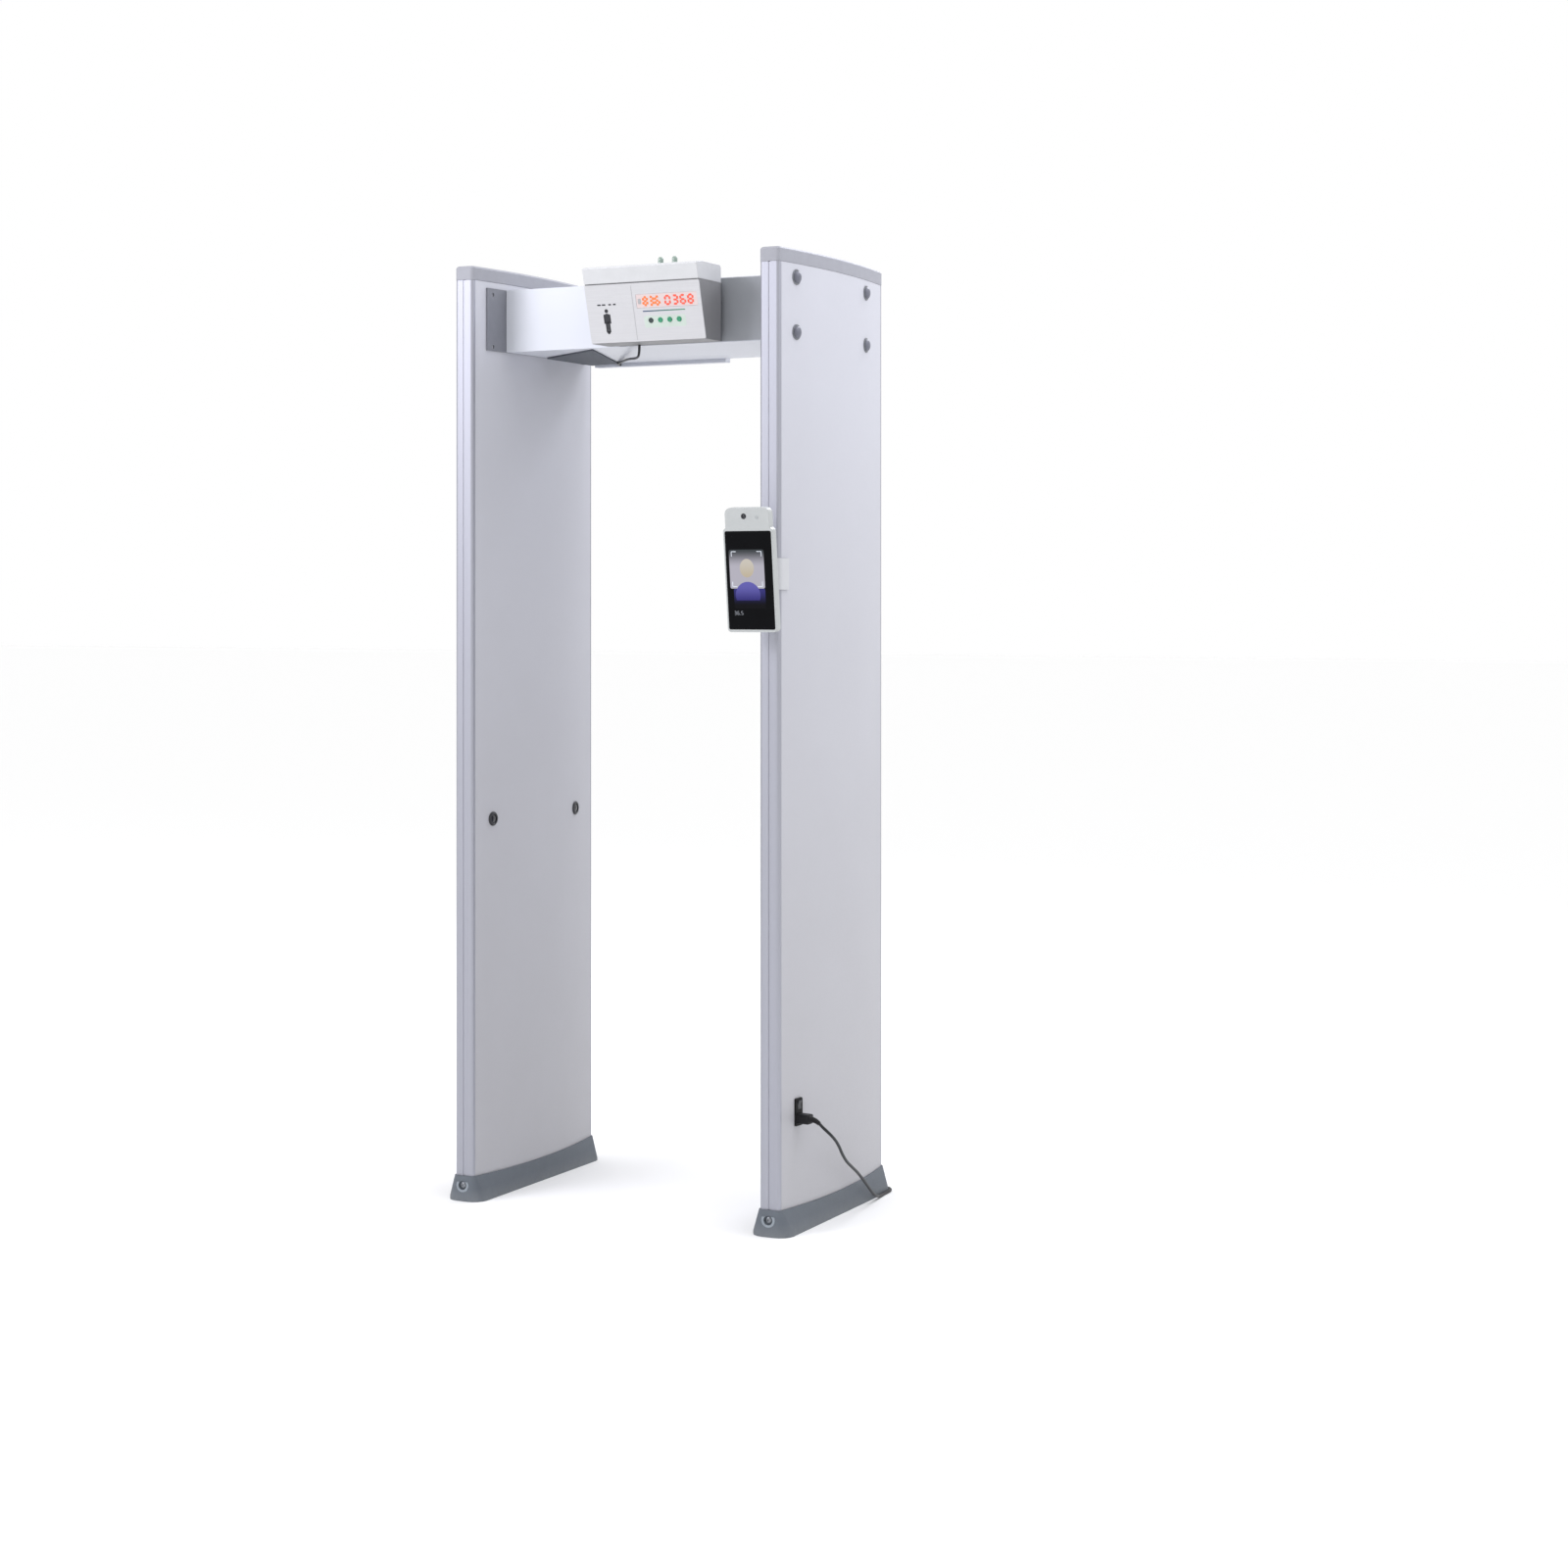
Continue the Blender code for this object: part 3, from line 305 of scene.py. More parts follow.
def rounded_box(bm, width, height, z0, z1, corner, edge=0.0, segments=4):
    """A block with round upright corners and softened front edges."""
    made = box_mesh(bm, width, height, z0, z1)
    upright = [e for e in bm.edges if e.verts[0] in made and e.verts[1] in made
               and abs(e.verts[0].co.z - e.verts[1].co.z) > 0.5 * (z1 - z0)]
    faces = bmesh.ops.bevel(bm, geom=upright, offset=corner, offset_type="OFFSET",
                            segments=segments, profile=0.5, affect="EDGES", material=-1)
    verts = list({v for f in faces["faces"] for v in f.verts})
    if edge:
        front = [e for e in bm.edges if all(v in verts for v in e.verts)
                 and all(abs(v.co.z - z1) < 1e-6 for v in e.verts)]
        bmesh.ops.bevel(bm, geom=front, offset=edge, offset_type="OFFSET", segments=3,
                        profile=0.5, affect="EDGES", material=-1)
    return bm


def put_in(bm, part, place):
    """Move a shape to its place and join it to another one."""
    bmesh.ops.transform(part, matrix=place, verts=part.verts)
    mesh = bpy.data.meshes.new("part")
    part.to_mesh(mesh)
    part.free()
    bm.from_mesh(mesh)
    bpy.data.meshes.remove(mesh)


# Width, height, back, front, corner, edge and corner steps: the nose in the socket, the grip.
CONNECTOR_BLOCKS = ((0.0238, 0.0158, -0.0125, 0.0050, 0.0022, 0.0, 4),
                    (0.0262, 0.0215, 0.0046, 0.0330, 0.0048, 0.0016, 6))
GRIP_RIBS, GRIP_START, GRIP_PITCH = 5, 0.0120, 0.0036
RELIEF_START, RELIEF_BEND = 0.0355, math.radians(40)
bm = bmesh.new()
for block in CONNECTOR_BLOCKS:
    rounded_box(bm, *block)
for rib in range(GRIP_RIBS):
    z = GRIP_START + GRIP_PITCH * rib
    rounded_box(bm, 0.0274, 0.0130, z, z + GRIP_PITCH / 2, 0.0030, 0.0005)
relief = draw_out(bmesh.new(), [(Matrix.Translation((0, 0, -0.0035)), 0.0088, 0.0082)]
                  + ribbed(0.022, RELIEF_BEND, 0.0068, 0.0050, 6))
put_in(bm, relief, Matrix.Translation((0, 0, RELIEF_START)))
bmesh.ops.transform(bm, matrix=socket_place, verts=bm.verts)
connector = finished("moulded_connector", bm, moulded_pvc, "power_connector")

lying = Matrix.Translation(plug_axis) @ Matrix.Rotation(math.radians(-90), 4, "X")
# Radius, how flat, and distance from the strain relief's end.
PLUG_RINGS = ((0.0085, 0.95, 0.0270), (0.0120, 0.88, 0.0300), (0.0158, 0.80, 0.0370),
              (0.0176, 0.75, 0.0450), (0.0170, 0.75, 0.0520), (0.0176, 0.75, 0.0580),
              (0.0180, 0.75, 0.0630), (0.0172, 0.74, 0.0650))
bm = draw_out(bmesh.new(), ribbed(0.026, 0.0, 0.0050, 0.0062, 6)
              + [(Matrix.Translation((0, 0, z)), r, r * flat) for r, flat, z in PLUG_RINGS])
bmesh.ops.transform(bm, matrix=lying, verts=bm.verts)
plug = finished("plug_body", bm, moulded_pvc, "mains_plug")

# Nickel plate: warm bright metal, a little dulled by use.
nickel, nickel_shader = surface("nickel_plate", Metallic=1.0, Roughness=0.28,
                                Base_Color=linear("#c9c5bb"))
tree = nickel.node_tree
place = add_node(tree, "TexCoord", {}, {}).outputs["Object"]
scuffs = add_node(tree, "TexNoise", {}, {"Vector": place, "Scale": per(3.0), "Detail": 5.0})
dulled = add_node(tree, "MapRange", {}, {"Value": scuffs.outputs["Fac"], "To Min": 0.18,
                                         "To Max": 0.42})
tree.links.new(dulled.outputs["Result"], nickel_shader.inputs["Roughness"])


def turned(profile, place, steps=48):
    """Spin a profile of (radius, height) about local Z and put it in place."""
    bm = bmesh.new()
    verts = [bm.verts.new((r, 0.0, z)) for r, z in profile]
    edges = [bm.edges.new(pair) for pair in zip(verts, verts[1:])]
    bmesh.ops.spin(bm, geom=verts + edges, cent=(0, 0, 0), axis=(0, 0, 1), dvec=(0, 0, 0),
                   angle=2 * math.pi, steps=steps, use_merge=True, use_duplicate=False)
    bmesh.ops.remove_doubles(bm, verts=bm.verts, dist=1e-6)
    bmesh.ops.recalc_face_normals(bm, faces=bm.faces)
    bmesh.ops.transform(bm, matrix=place, verts=bm.verts)
    return bm


PIN_PROFILE = [(0, 0.0640), (0.0024, 0.0640), (0.0024, 0.0808), (0.0019, 0.0822),
               (0.0010, 0.0828), (0, 0.0829)]
HALF_PIN_PITCH = 0.0095
for number, x in enumerate((-HALF_PIN_PITCH, HALF_PIN_PITCH), 1):
    pin = turned(PIN_PROFILE, lying @ Matrix.Translation((x, 0, 0)), 24)
    finished("plug_pin_" + str(number), pin, nickel)


# Control lead ---------------------------------------------------------------------------------
# A 6 mm multicore PVC lead from the control unit's underside to the rear bay of the crossbeam.
# Both of its ends go into the gate; between them it hangs a little under the beam.
LEAD_D = 0.006
LEAD_ROUTE = [
    (0.0250, -0.2050, 2.0032), (0.0243, -0.2040, 1.9954), (0.0219, -0.2003, 1.9882),
    (0.0184, -0.1950, 1.9828), (0.0141, -0.1885, 1.9800), (0.0020, -0.1700, 1.9786),
    (-0.0150, -0.1440, 1.9792), (-0.0400, -0.1080, 1.9815), (-0.0800, -0.0500, 1.9868),
    (-0.1250, 0.0180, 1.9920), (-0.1700, 0.0850, 1.9960), (-0.2100, 0.1430, 1.9985),
    (-0.2400, 0.1880, 1.9998), (-0.2565, 0.2150, 1.9999), (-0.2620, 0.2347, 1.9999),
]
lead_points = [Vector(p) + Vector((0, gate_y, 0)) for p in LEAD_ROUTE]
control_lead = lay_cord("multicore_lead", lead_points, LEAD_D, sheath)
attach(control_lead, "gate")
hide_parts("control_lead")


# Floor and studio light -----------------------------------------------------------------------
# A white studio floor that runs out to a white surround. Soft boxes stand high at the front
# left, at the right and behind, so the columns are brightest at the top, and a wide overhead
# light lays the soft shadows round the shoes.
bpy.context.scene.view_settings.view_transform = "Standard"
bm = bmesh.new()
bmesh.ops.create_grid(bm, x_segments=8, y_segments=8, size=60.0)
floor_mesh = bpy.data.meshes.new("studio_floor")
bm.to_mesh(floor_mesh)
bm.free()
floor = bpy.data.objects.new("studio_floor", floor_mesh)
bpy.context.scene.collection.objects.link(floor)
floor_mesh.materials.append(surface("matt_white_floor", Roughness=0.9,
                                    Base_Color=linear("#eeeeee"))[0])

world = bpy.data.worlds.new("studio")
world.use_nodes = True
bpy.context.scene.world = world
sky = world.node_tree
background = sky.nodes["Background"]
# the surround is dimmer overhead, which keeps the lids and the beam's top from burning out
direction = add_node(sky, "TexCoord", {}, {}).outputs["Generated"]
height = add_node(sky, "SeparateXYZ", {}, {"Vector": direction}).outputs["Z"]
fade = add_node(sky, "MapRange", {"interpolation_type": "SMOOTHSTEP"},
                {"Value": height, "From Min": 0.35, "From Max": 0.75, "To Min": 1.0,
                 "To Max": 0.45})
sky.links.new(fade.outputs["Result"], background.inputs["Strength"])
background.inputs["Color"].default_value = linear("#ffffff")


def soft_box(name, place, target, width, height, watts, colour):
    """A rectangular soft box that looks at a point."""
    data = bpy.data.lights.new(name, "AREA")
    data.shape = "RECTANGLE"
    data.size, data.size_y = width, height
    data.energy = watts
    data.color = linear(colour)[:3]
    lamp = bpy.data.objects.new(name, data)
    lamp.location = place
    lamp.rotation_euler = (Vector(target) - Vector(place)).to_track_quat("-Z", "Y").to_euler()
    bpy.context.scene.collection.objects.link(lamp)


soft_box("front_left_box", (-2.0, -3.0, 3.2), (-0.4, 0, 1.9), 1.6, 1.6, 76, "#f6f6ff")
soft_box("right_box", (1.9, 0.2, 3.3), (0.45, 0, 2.1), 1.0, 1.0, 15, "#eef0ff")
soft_box("rear_box", (0.8, 3.5, 4.6), (-0.3, 0, 1.5), 1.4, 1.4, 85, "#f4f6ff")
sun_data = bpy.data.lights.new("overhead", "SUN")
sun_data.energy = 1.7
sun_data.angle = math.radians(70)
overhead = bpy.data.objects.new("overhead", sun_data)
overhead.rotation_euler = (math.radians(4), math.radians(4), 0)
bpy.context.scene.collection.objects.link(overhead)


# Column faces ---------------------------------------------------------------------------------
# Each column has two arched panels of rigid PVC foam board with a cast vinyl skin, pressed over
# the frame and held in the grooves of the edge profiles. Seen close, the skin is a fine leather
# grain; from afar it is a cool light grey satin. Towards the floor a darker grey is laid into the
# colour: painted shade, standing for the light's fall-off down the column.
def dusted(material, colour, top, most, patchy, cells):
    """A colour mixed in, strongest at the floor and gone at a height, in patches of a size."""
    tree = material.node_tree
    shader = tree.nodes["Principled BSDF"]
    place = add_node(tree, "TexCoord", {}, {}).outputs["Object"]
    level = add_node(tree, "SeparateXYZ", {}, {"Vector": place}).outputs["Z"]
    fall = add_node(tree, "MapRange", {}, {"Value": level, "From Min": 0.0, "From Max": top,
                                           "To Min": most, "To Max": 0.0})
    patch_noise = add_node(tree, "TexNoise", {}, {"Vector": place, "Scale": per(cells), "Detail": 6.0,
                                             "Roughness": 0.7})
    cover = add_node(tree, "MapRange", {}, {"Value": patch_noise.outputs["Fac"], "From Min": 0.3,
                                            "From Max": 0.7, "To Min": 1.0 - patchy})
    amount = add_node(tree, "Math", {"operation": "MULTIPLY"},
                      {0: fall.outputs["Result"], 1: cover.outputs["Result"]})
    own_colour = shader.inputs["Base Color"].links[0].from_socket
    graded = add_node(tree, "Mix", {"data_type": "RGBA"},
                     {0: amount.outputs[0], 6: own_colour, 7: linear(colour)})
    tree.links.new(graded.outputs[2], shader.inputs["Base Color"])


panel_skin = plastic("vinyl_faced_panel", "#c4c5cd", "#bcbdc5", 0.50, 4.0, 0.00005, 420.0)
# On the panels this is painted shade: darker towards the floor, as the light falls off.
dusted(panel_skin, "#a2a1a4", 1.9, 0.80, 0.12, 250.0)


PANEL_T = 0.004
ARCH_CUTS = 55


def arched(node):
    """One face panel: a tall sheet, divided along its depth and bent to the arch."""
    low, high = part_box(node)
    side = 1 if node.startswith("right") else -1
    face = side if "outer" in node else -side
    bm = bmesh.new()
    box_mesh(bm, PANEL_T, high.y - low.y, low.z, high.z)
    bmesh.ops.translate(bm, vec=(0, (low.y + high.y) / 2 - gate_y, 0), verts=bm.verts)
    along = [e for e in bm.edges if abs(e.verts[0].co.y - e.verts[1].co.y) > 0.1]
    bmesh.ops.subdivide_edges(bm, edges=along, cuts=ARCH_CUTS, use_grid_fill=True)
    for v in bm.verts:
        v.co.x += side * column_x + face * (half_thickness(v.co.y) - PANEL_T / 2)
        v.co.y += gate_y
    return bm


for node in ("left_inner_panel", "left_outer_panel", "right_inner_panel", "right_outer_panel"):
    finished(node.replace("panel", "skin"), arched(node), panel_skin, node)


# Column edges ---------------------------------------------------------------------------------
# The rounded front and rear edges are drawn aluminium extrusions with a shallow centre groove,
# satin anodised: a soft metal sheen with faint vertical die lines.
drawn, drawn_shader = surface("satin_anodised_aluminium", Metallic=1.0)
tree = drawn.node_tree
place = add_node(tree, "TexCoord", {}, {}).outputs["Object"]
stretched = add_node(tree, "Mapping", {}, {"Vector": place, "Scale": (per(3.0), per(3.0), 1.2)})
lines = add_node(tree, "TexNoise", {}, {"Vector": stretched.outputs["Vector"], "Scale": 1.0,
                                        "Detail": 4.0})
sheen = add_node(tree, "Mix", {"data_type": "RGBA"},
                 {0: lines.outputs["Fac"], 6: linear("#a2a3ac"), 7: linear("#b0b1ba")})
tree.links.new(sheen.outputs[2], drawn_shader.inputs["Base Color"])
gloss = add_node(tree, "MapRange", {}, {"Value": lines.outputs["Fac"], "To Min": 0.48,
                                        "To Max": 0.60})
tree.links.new(gloss.outputs["Result"], drawn_shader.inputs["Roughness"])
ridges = add_node(tree, "Bump", {}, {"Height": lines.outputs["Fac"], "Distance": 0.00004,
                                     "Strength": 0.6})
tree.links.new(ridges.outputs["Normal"], drawn_shader.inputs["Normal"])

NOSE_DEEP = 0.014                         # how much of the profile is made, from its front
NOSE_CORNER = 0.009
NOSE_PROUD = 0.0006                       # it stands this far past the face panels' edges
HEEL_CHAMFER = 0.0014
GROOVE = 0.0028                           # half width of the centre groove
GROOVE_SLOPE, GROOVE_DEPTH = 0.0006, 0.0012


def extrusion(node):
    """Nose profile: a bar with two large round corners, a centre groove and chamfered heels."""
    low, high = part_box(node)
    side = 1 if node.startswith("right") else -1
    end = -1 if "front" in node else 1
    half = half_thickness(HALF_D - NOSE_CORNER) + NOSE_PROUD
    bm = bmesh.new()
    box_mesh(bm, 2 * half, NOSE_DEEP, low.z, high.z)
    front = NOSE_DEEP / 2
    for x in (-GROOVE, GROOVE):
        bmesh.ops.bisect_plane(bm, geom=bm.verts[:] + bm.edges[:] + bm.faces[:],
                               plane_co=(x, 0, 0), plane_no=(1, 0, 0))
    tall = [e for e in bm.edges if abs(e.verts[0].co.z - e.verts[1].co.z) > 1.0]
    corners = [e for e in tall if e.verts[0].co.y > front - 1e-4
               and abs(e.verts[0].co.x) > half - 1e-4]
    bmesh.ops.bevel(bm, geom=corners, offset=NOSE_CORNER, offset_type="OFFSET", segments=10,
                    profile=0.5, affect="EDGES", material=-1)
    bm.faces.ensure_lookup_table()
    strip = [f for f in bm.faces if f.normal.y > 0.99 and abs(f.calc_center_median().x) < 1e-3]
    bmesh.ops.inset_region(bm, faces=strip, thickness=GROOVE_SLOPE, depth=-GROOVE_DEPTH,
                           use_even_offset=True, use_boundary=True)
    # the heel beside the face panel is chamfered, which leaves a fine dark line
    for v in bm.verts:
        if v.co.y < -front + 0.002 and abs(v.co.x) > half - 1e-4:
            v.co.x *= (half - HEEL_CHAMFER) / half
    bmesh.ops.translate(bm, vec=(0, HALF_D - front, 0), verts=bm.verts)
    if end < 0:
        bmesh.ops.rotate(bm, cent=(0, 0, 0), matrix=Matrix.Rotation(math.pi, 3, "Z"),
                         verts=bm.verts)
    bmesh.ops.translate(bm, vec=(side * column_x, gate_y, 0), verts=bm.verts)
    return bm


for node in ("left_front_profile", "left_rear_profile", "right_front_profile",
             "right_rear_profile"):
    finished(node.replace("profile", "nose"), extrusion(node), drawn, node)


# Top caps and shoes ---------------------------------------------------------------------------
# Injection-moulded ABS: a grey lid pressed on each column and a dark flared boot under it. The
# mould is spark eroded, so both are matt; the boots are drawn paler towards their lower edge.
def finer(name, node, finish, bevel, body="gate", sharp=35.0):
    """A CAD piece's own shape with its hard edges rounded."""
    bm = bmesh.new()
    bm.from_mesh(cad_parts[node].data)
    bmesh.ops.remove_doubles(bm, verts=bm.verts, dist=1e-5)
    bmesh.ops.dissolve_limit(bm, angle_limit=math.radians(0.4), verts=bm.verts, edges=bm.edges)
    return finished(name, bm, finish, node, body, bevel, sharp)


cap_abs = plastic("eroded_grey_abs", "#9d9ea6", "#92939b", 0.55, 1.8, 0.00008)
shoe_abs = plastic("eroded_dark_abs", "#5f666e", "#545a62", 0.60, 2.2, 0.0001)
dusted(shoe_abs, "#8b8d8e", 0.030, 0.385, 0.57, 18.0)
MOULD_EDGE = 0.0012

for side in ("left", "right"):
    finer(side + "_lid", side + "_top_cap", cap_abs, MOULD_EDGE)
    finer(side + "_boot", side + "_shoe", shoe_abs, MOULD_EDGE)


# Shoe screws ----------------------------------------------------------------------------------
# A zinc-plated pan-head screw with a round socket sits in a moulded cup at each end of a shoe.
# The plating is a dull bluish metal. The cup's rib is paler than the boot: a painted highlight,
# where the cup's walls catch the light.
zinc = plastic("zinc_plated_steel", "#8e9196", "#6f7277", 0.34, 1.5, 0.00003)
zinc.node_tree.nodes["Principled BSDF"].inputs["Metallic"].default_value = 1.0
rib_highlight_abs = plastic("eroded_rib_highlight_abs", "#8d959d", "#818991", 0.50, 2.0)
SCREW_Z = 0.037
# Distances along Y from the column's middle: under the screw's head, and the shoe's face.
SCREW_SEAT, CUP_FRONT = 0.2933, 0.2966
SCREW_PROFILE = [(0, 0.0008), (0.0019, 0.0008), (0.0021, 0.0028), (0.0034, 0.0029),
                 (0.0058, 0.0022), (0.0070, 0.0012), (0.0072, 0.0), (0.0029, 0.0),
                 (0.0029, -0.0098), (0, -0.0098)]
RIB_PROFILE = [(0.0107, -0.0030), (0.0107, 0.0016), (0.0113, 0.0022), (0.0153, 0.0022),
               (0.0165, 0.0010), (0.0165, -0.0030), (0.0107, -0.0030)]
RIB_OPENS = 0.0080                        # above the screw's middle the rib is open


def cup_rib(place):
    """A moulded rib round the screw's recess, open at the top like a U."""
    ring = turned(RIB_PROFILE, Matrix())
    bmesh.ops.bisect_plane(ring, geom=ring.verts[:] + ring.edges[:] + ring.faces[:],
                           plane_co=(0, RIB_OPENS, 0), plane_no=(0, 1, 0), clear_outer=True)
    bmesh.ops.holes_fill(ring, edges=[e for e in ring.edges if e.is_boundary], sides=0)
    bmesh.ops.transform(ring, matrix=place, verts=ring.verts)
    return ring


for side, x in (("left", -column_x), ("right", column_x)):
    for end, sign in (("front", -1), ("rear", 1)):
        node = side + "_" + end + "_shoe_screw"
        # local Z points out of the shoe's end, local Y up
        turn = Matrix.Rotation(math.pi if sign > 0 else 0.0, 4, "Z") @ Matrix.Rotation(
            math.radians(90), 4, "X")
        seat = Matrix.Translation((x, gate_y + sign * SCREW_SEAT, SCREW_Z)) @ turn
        finished(node.replace("shoe_screw", "foot_screw"), turned(SCREW_PROFILE, seat, 32),
                 zinc, node)
        rim = Matrix.Translation((x, gate_y + sign * CUP_FRONT, SCREW_Z)) @ turn
        finished(node.replace("shoe_screw", "screw_cup"), cup_rib(rim), rib_highlight_abs)


# Sensor windows -------------------------------------------------------------------------------
# Infrared windows in both inner faces: a satin black moulded bezel, snapped into its hole, with
# a domed lens of smoked acrylic, near black and shiny.
bezel_abs = plastic("moulded_black_abs", "#2a2b30", "#1f2024", 0.42, 1.2, 0.00004)
smoked, smoked_shader = surface("smoked_acrylic", Roughness=0.08, IOR=1.49, Coat_Weight=0.3)
tree = smoked.node_tree
place = add_node(tree, "TexCoord", {}, {}).outputs["Object"]
haze = add_node(tree, "TexNoise", {}, {"Vector": place, "Scale": per(9.0), "Detail": 3.0})
shade = add_node(tree, "Mix", {"data_type": "RGBA"},
                 {0: haze.outputs["Fac"], 6: linear("#101118"), 7: linear("#1d1e29")})
tree.links.new(shade.outputs[2], smoked_shader.inputs["Base Color"])

SENSOR_Y, SENSOR_Z = (-0.213, 0.180), 0.895
BEZEL_PROFILE = [(0.0108, -0.0100), (0.0108, 0.0030), (0.0116, 0.0038), (0.0130, 0.0040),
                 (0.0152, 0.0034), (0.0167, 0.0018), (0.0170, 0.0003), (0.0126, 0.0003),
                 (0.0126, -0.0100), (0.0108, -0.0100)]
DOME_PROFILE = [(0, 0.0036), (0.0040, 0.0034), (0.0075, 0.0027), (0.0106, 0.0014),
                (0.0106, -0.0060), (0, -0.0060)]
for side, sign in (("left", -1), ("right", 1)):
    for end, y in zip(("front", "rear"), SENSOR_Y):
        seat = face_frame(sign, -sign, y, SENSOR_Z)
        place = side + "_" + end
        finished(place + "_bezel", turned(BEZEL_PROFILE, seat), bezel_abs,
                 place + "_sensor")
        finished(place + "_window", turned(DOME_PROFILE, seat), smoked)


# Beam bolts -----------------------------------------------------------------------------------
# Four through bolts on each column's outer face carry the crossbeam. Each shows a plated washer
# and a domed metal cover in dark satin paint, pressed over the bolt's head.
cover_paint = plastic("dark_bolt_cover", "#6d6f7b", "#5c5e69", 0.38, 1.5, 0.00004)
BOLT_Y, BOLT_Z = (-0.218, 0.160), (2.0135, 2.1365)
COVER_PROFILE = [(0, 0.0100), (0.0045, 0.0097), (0.0085, 0.0086), (0.0115, 0.0068),
                 (0.0133, 0.0046), (0.0140, 0.0022), (0.0140, 0.0008), (0, 0.0008)]
WASHER_PROFILE = [(0, 0.0003), (0.0172, 0.0003), (0.0175, 0.0008), (0.0173, 0.0019),
                  (0.0162, 0.0024), (0.0138, 0.0024), (0, 0.0022)]
for side, sign in (("left", -1), ("right", 1)):
    spots = [(y, z) for z in BOLT_Z for y in BOLT_Y]
    for number, (y, z) in enumerate(spots, 1):
        name = side + "_beam_bolt_" + str(number)
        seat = face_frame(sign, sign, y, z)
        finished(name + "_cover", turned(COVER_PROFILE, seat), cover_paint, name)
        finished(name + "_washer", turned(WASHER_PROFILE, seat), zinc)


# Crossbeam ------------------------------------------------------------------------------------
# A channel folded from 2.5 mm aluminium sheet, closed at the rear by a lid with a raised bay for
# the relay box. Powder coated white: a bright even skin with a slight orange peel.
coat = plastic("white_powder_coat", "#cacdd5", "#c3c6cf", 0.42, 3.0, 0.00006, 260.0, 0.15)
finer("beam_channel", "crossbeam_body", coat, 0.0009)
finer("beam_rear_lid", "crossbeam_rear_cover", coat, 0.0009)
# Brackets: aluminium castings in matt grey paint, which leaves the casting's grain. Their dark
# grey is partly painted shade: the shadow that falls beside the beam's ends.
cast_grey_and_shade = plastic("grey_cast_bracket_and_shade", "#7d7f87", "#72747c", 0.50, 2.5, 0.0001)
for side in ("left", "right"):
    finer(side + "_bracket_casting", side + "_beam_bracket", cast_grey_and_shade, 0.0006)



# Shade plate and shadow pad -------------------------------------------------------------------
# A thin plate in half-gloss grey on the beam's front beside the control unit is painted shade:
# it stands for the shadow that falls there, and has no CAD solid. A dark, matt and pitted wedge
# under the beam's left end is a painted shadow, cut to that shadow's outline, with no CAD solid.
beam_low, beam_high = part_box("crossbeam_body")
mount_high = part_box("control_mount")[1]
# The plate's grey is painted shade: the shadow beside the control unit.
shade_plate_finish = plastic("grey_painted_shade_plate", "#989ba1", "#8f9298", 0.46, 2.5, 0.00006)
PLATE_T, PLATE_MARGIN = 0.0012, 0.0020
PLATE_LAP, PLATE_END = 0.019, 0.017       # it runs behind the unit, and stops short of the end
JOINT = 0.0001                            # a glued or screwed-on piece stands off this far
plate_x0, plate_x1 = mount_high.x - PLATE_LAP, beam_high.x - PLATE_END
bm = rounded_box(bmesh.new(), plate_x1 - plate_x0, beam_high.z - beam_low.z - 2 * PLATE_MARGIN,
                 0.0, PLATE_T, 0.003, 0.0004)
on_front = Matrix.Translation(((plate_x0 + plate_x1) / 2, beam_low.y - JOINT,
                               (beam_low.z + beam_high.z) / 2)) @ Matrix.Rotation(
    math.radians(90), 4, "X")
bmesh.ops.transform(bm, matrix=on_front, verts=bm.verts)
finished("painted_shade_plate", bm, shade_plate_finish)

# The pad is a painted shadow: a dark sheet laid where the shadow falls under the beam's left end.
shadow_pad_finish = plastic("dark_painted_shadow_pad", "#5c6068", "#4d5158", 0.85, 1.6, 0.0003)
PAD_T = 0.004
# X, and depth from the columns' middle, of the pad's corners, which follow the shadow's outline.
PAD_OUTLINE = ((-0.338, 0.000), (-0.128, -0.150), (-0.252, 0.205), (-0.338, 0.226))
bm = bmesh.new()
sheet = bm.faces.new([bm.verts.new((x, gate_y + y, beam_low.z - JOINT)) for x, y in PAD_OUTLINE])
drawn_down = bmesh.ops.extrude_face_region(bm, geom=[sheet])["geom"]
bmesh.ops.translate(bm, vec=(0, 0, -PAD_T),
                    verts=[g for g in drawn_down if isinstance(g, bmesh.types.BMVert)])
bmesh.ops.recalc_face_normals(bm, faces=bm.faces)
finished("painted_shadow_pad", bm, shadow_pad_finish, bevel=0.0012)


# Control unit ---------------------------------------------------------------------------------
# A moulded case of grey plastic with a fine texture, a hood of eroded off-white ABS and a black
# plastic flange. The slanted front is a silver printed panel with the display's window, the
# standing figure that marks the zones, and four keys.
case_plastic = plastic("textured_grey_case", "#848486", "#7a7a7c", 0.50, 2.2, 0.00008)
hood_abs = plastic("off_white_hood_abs", "#c9cacc", "#c0c1c3", 0.42, 1.8, 0.00006)
flange_plastic = plastic("black_flange_plastic", "#34343a", "#2a2a2f", 0.50, 2.0)
finer("unit_case", "control_housing", case_plastic, 0.0012)
finer("unit_hood", "control_hood", hood_abs, 0.0016)
finer("unit_flange", "control_mount", flange_plastic, 0.0008)

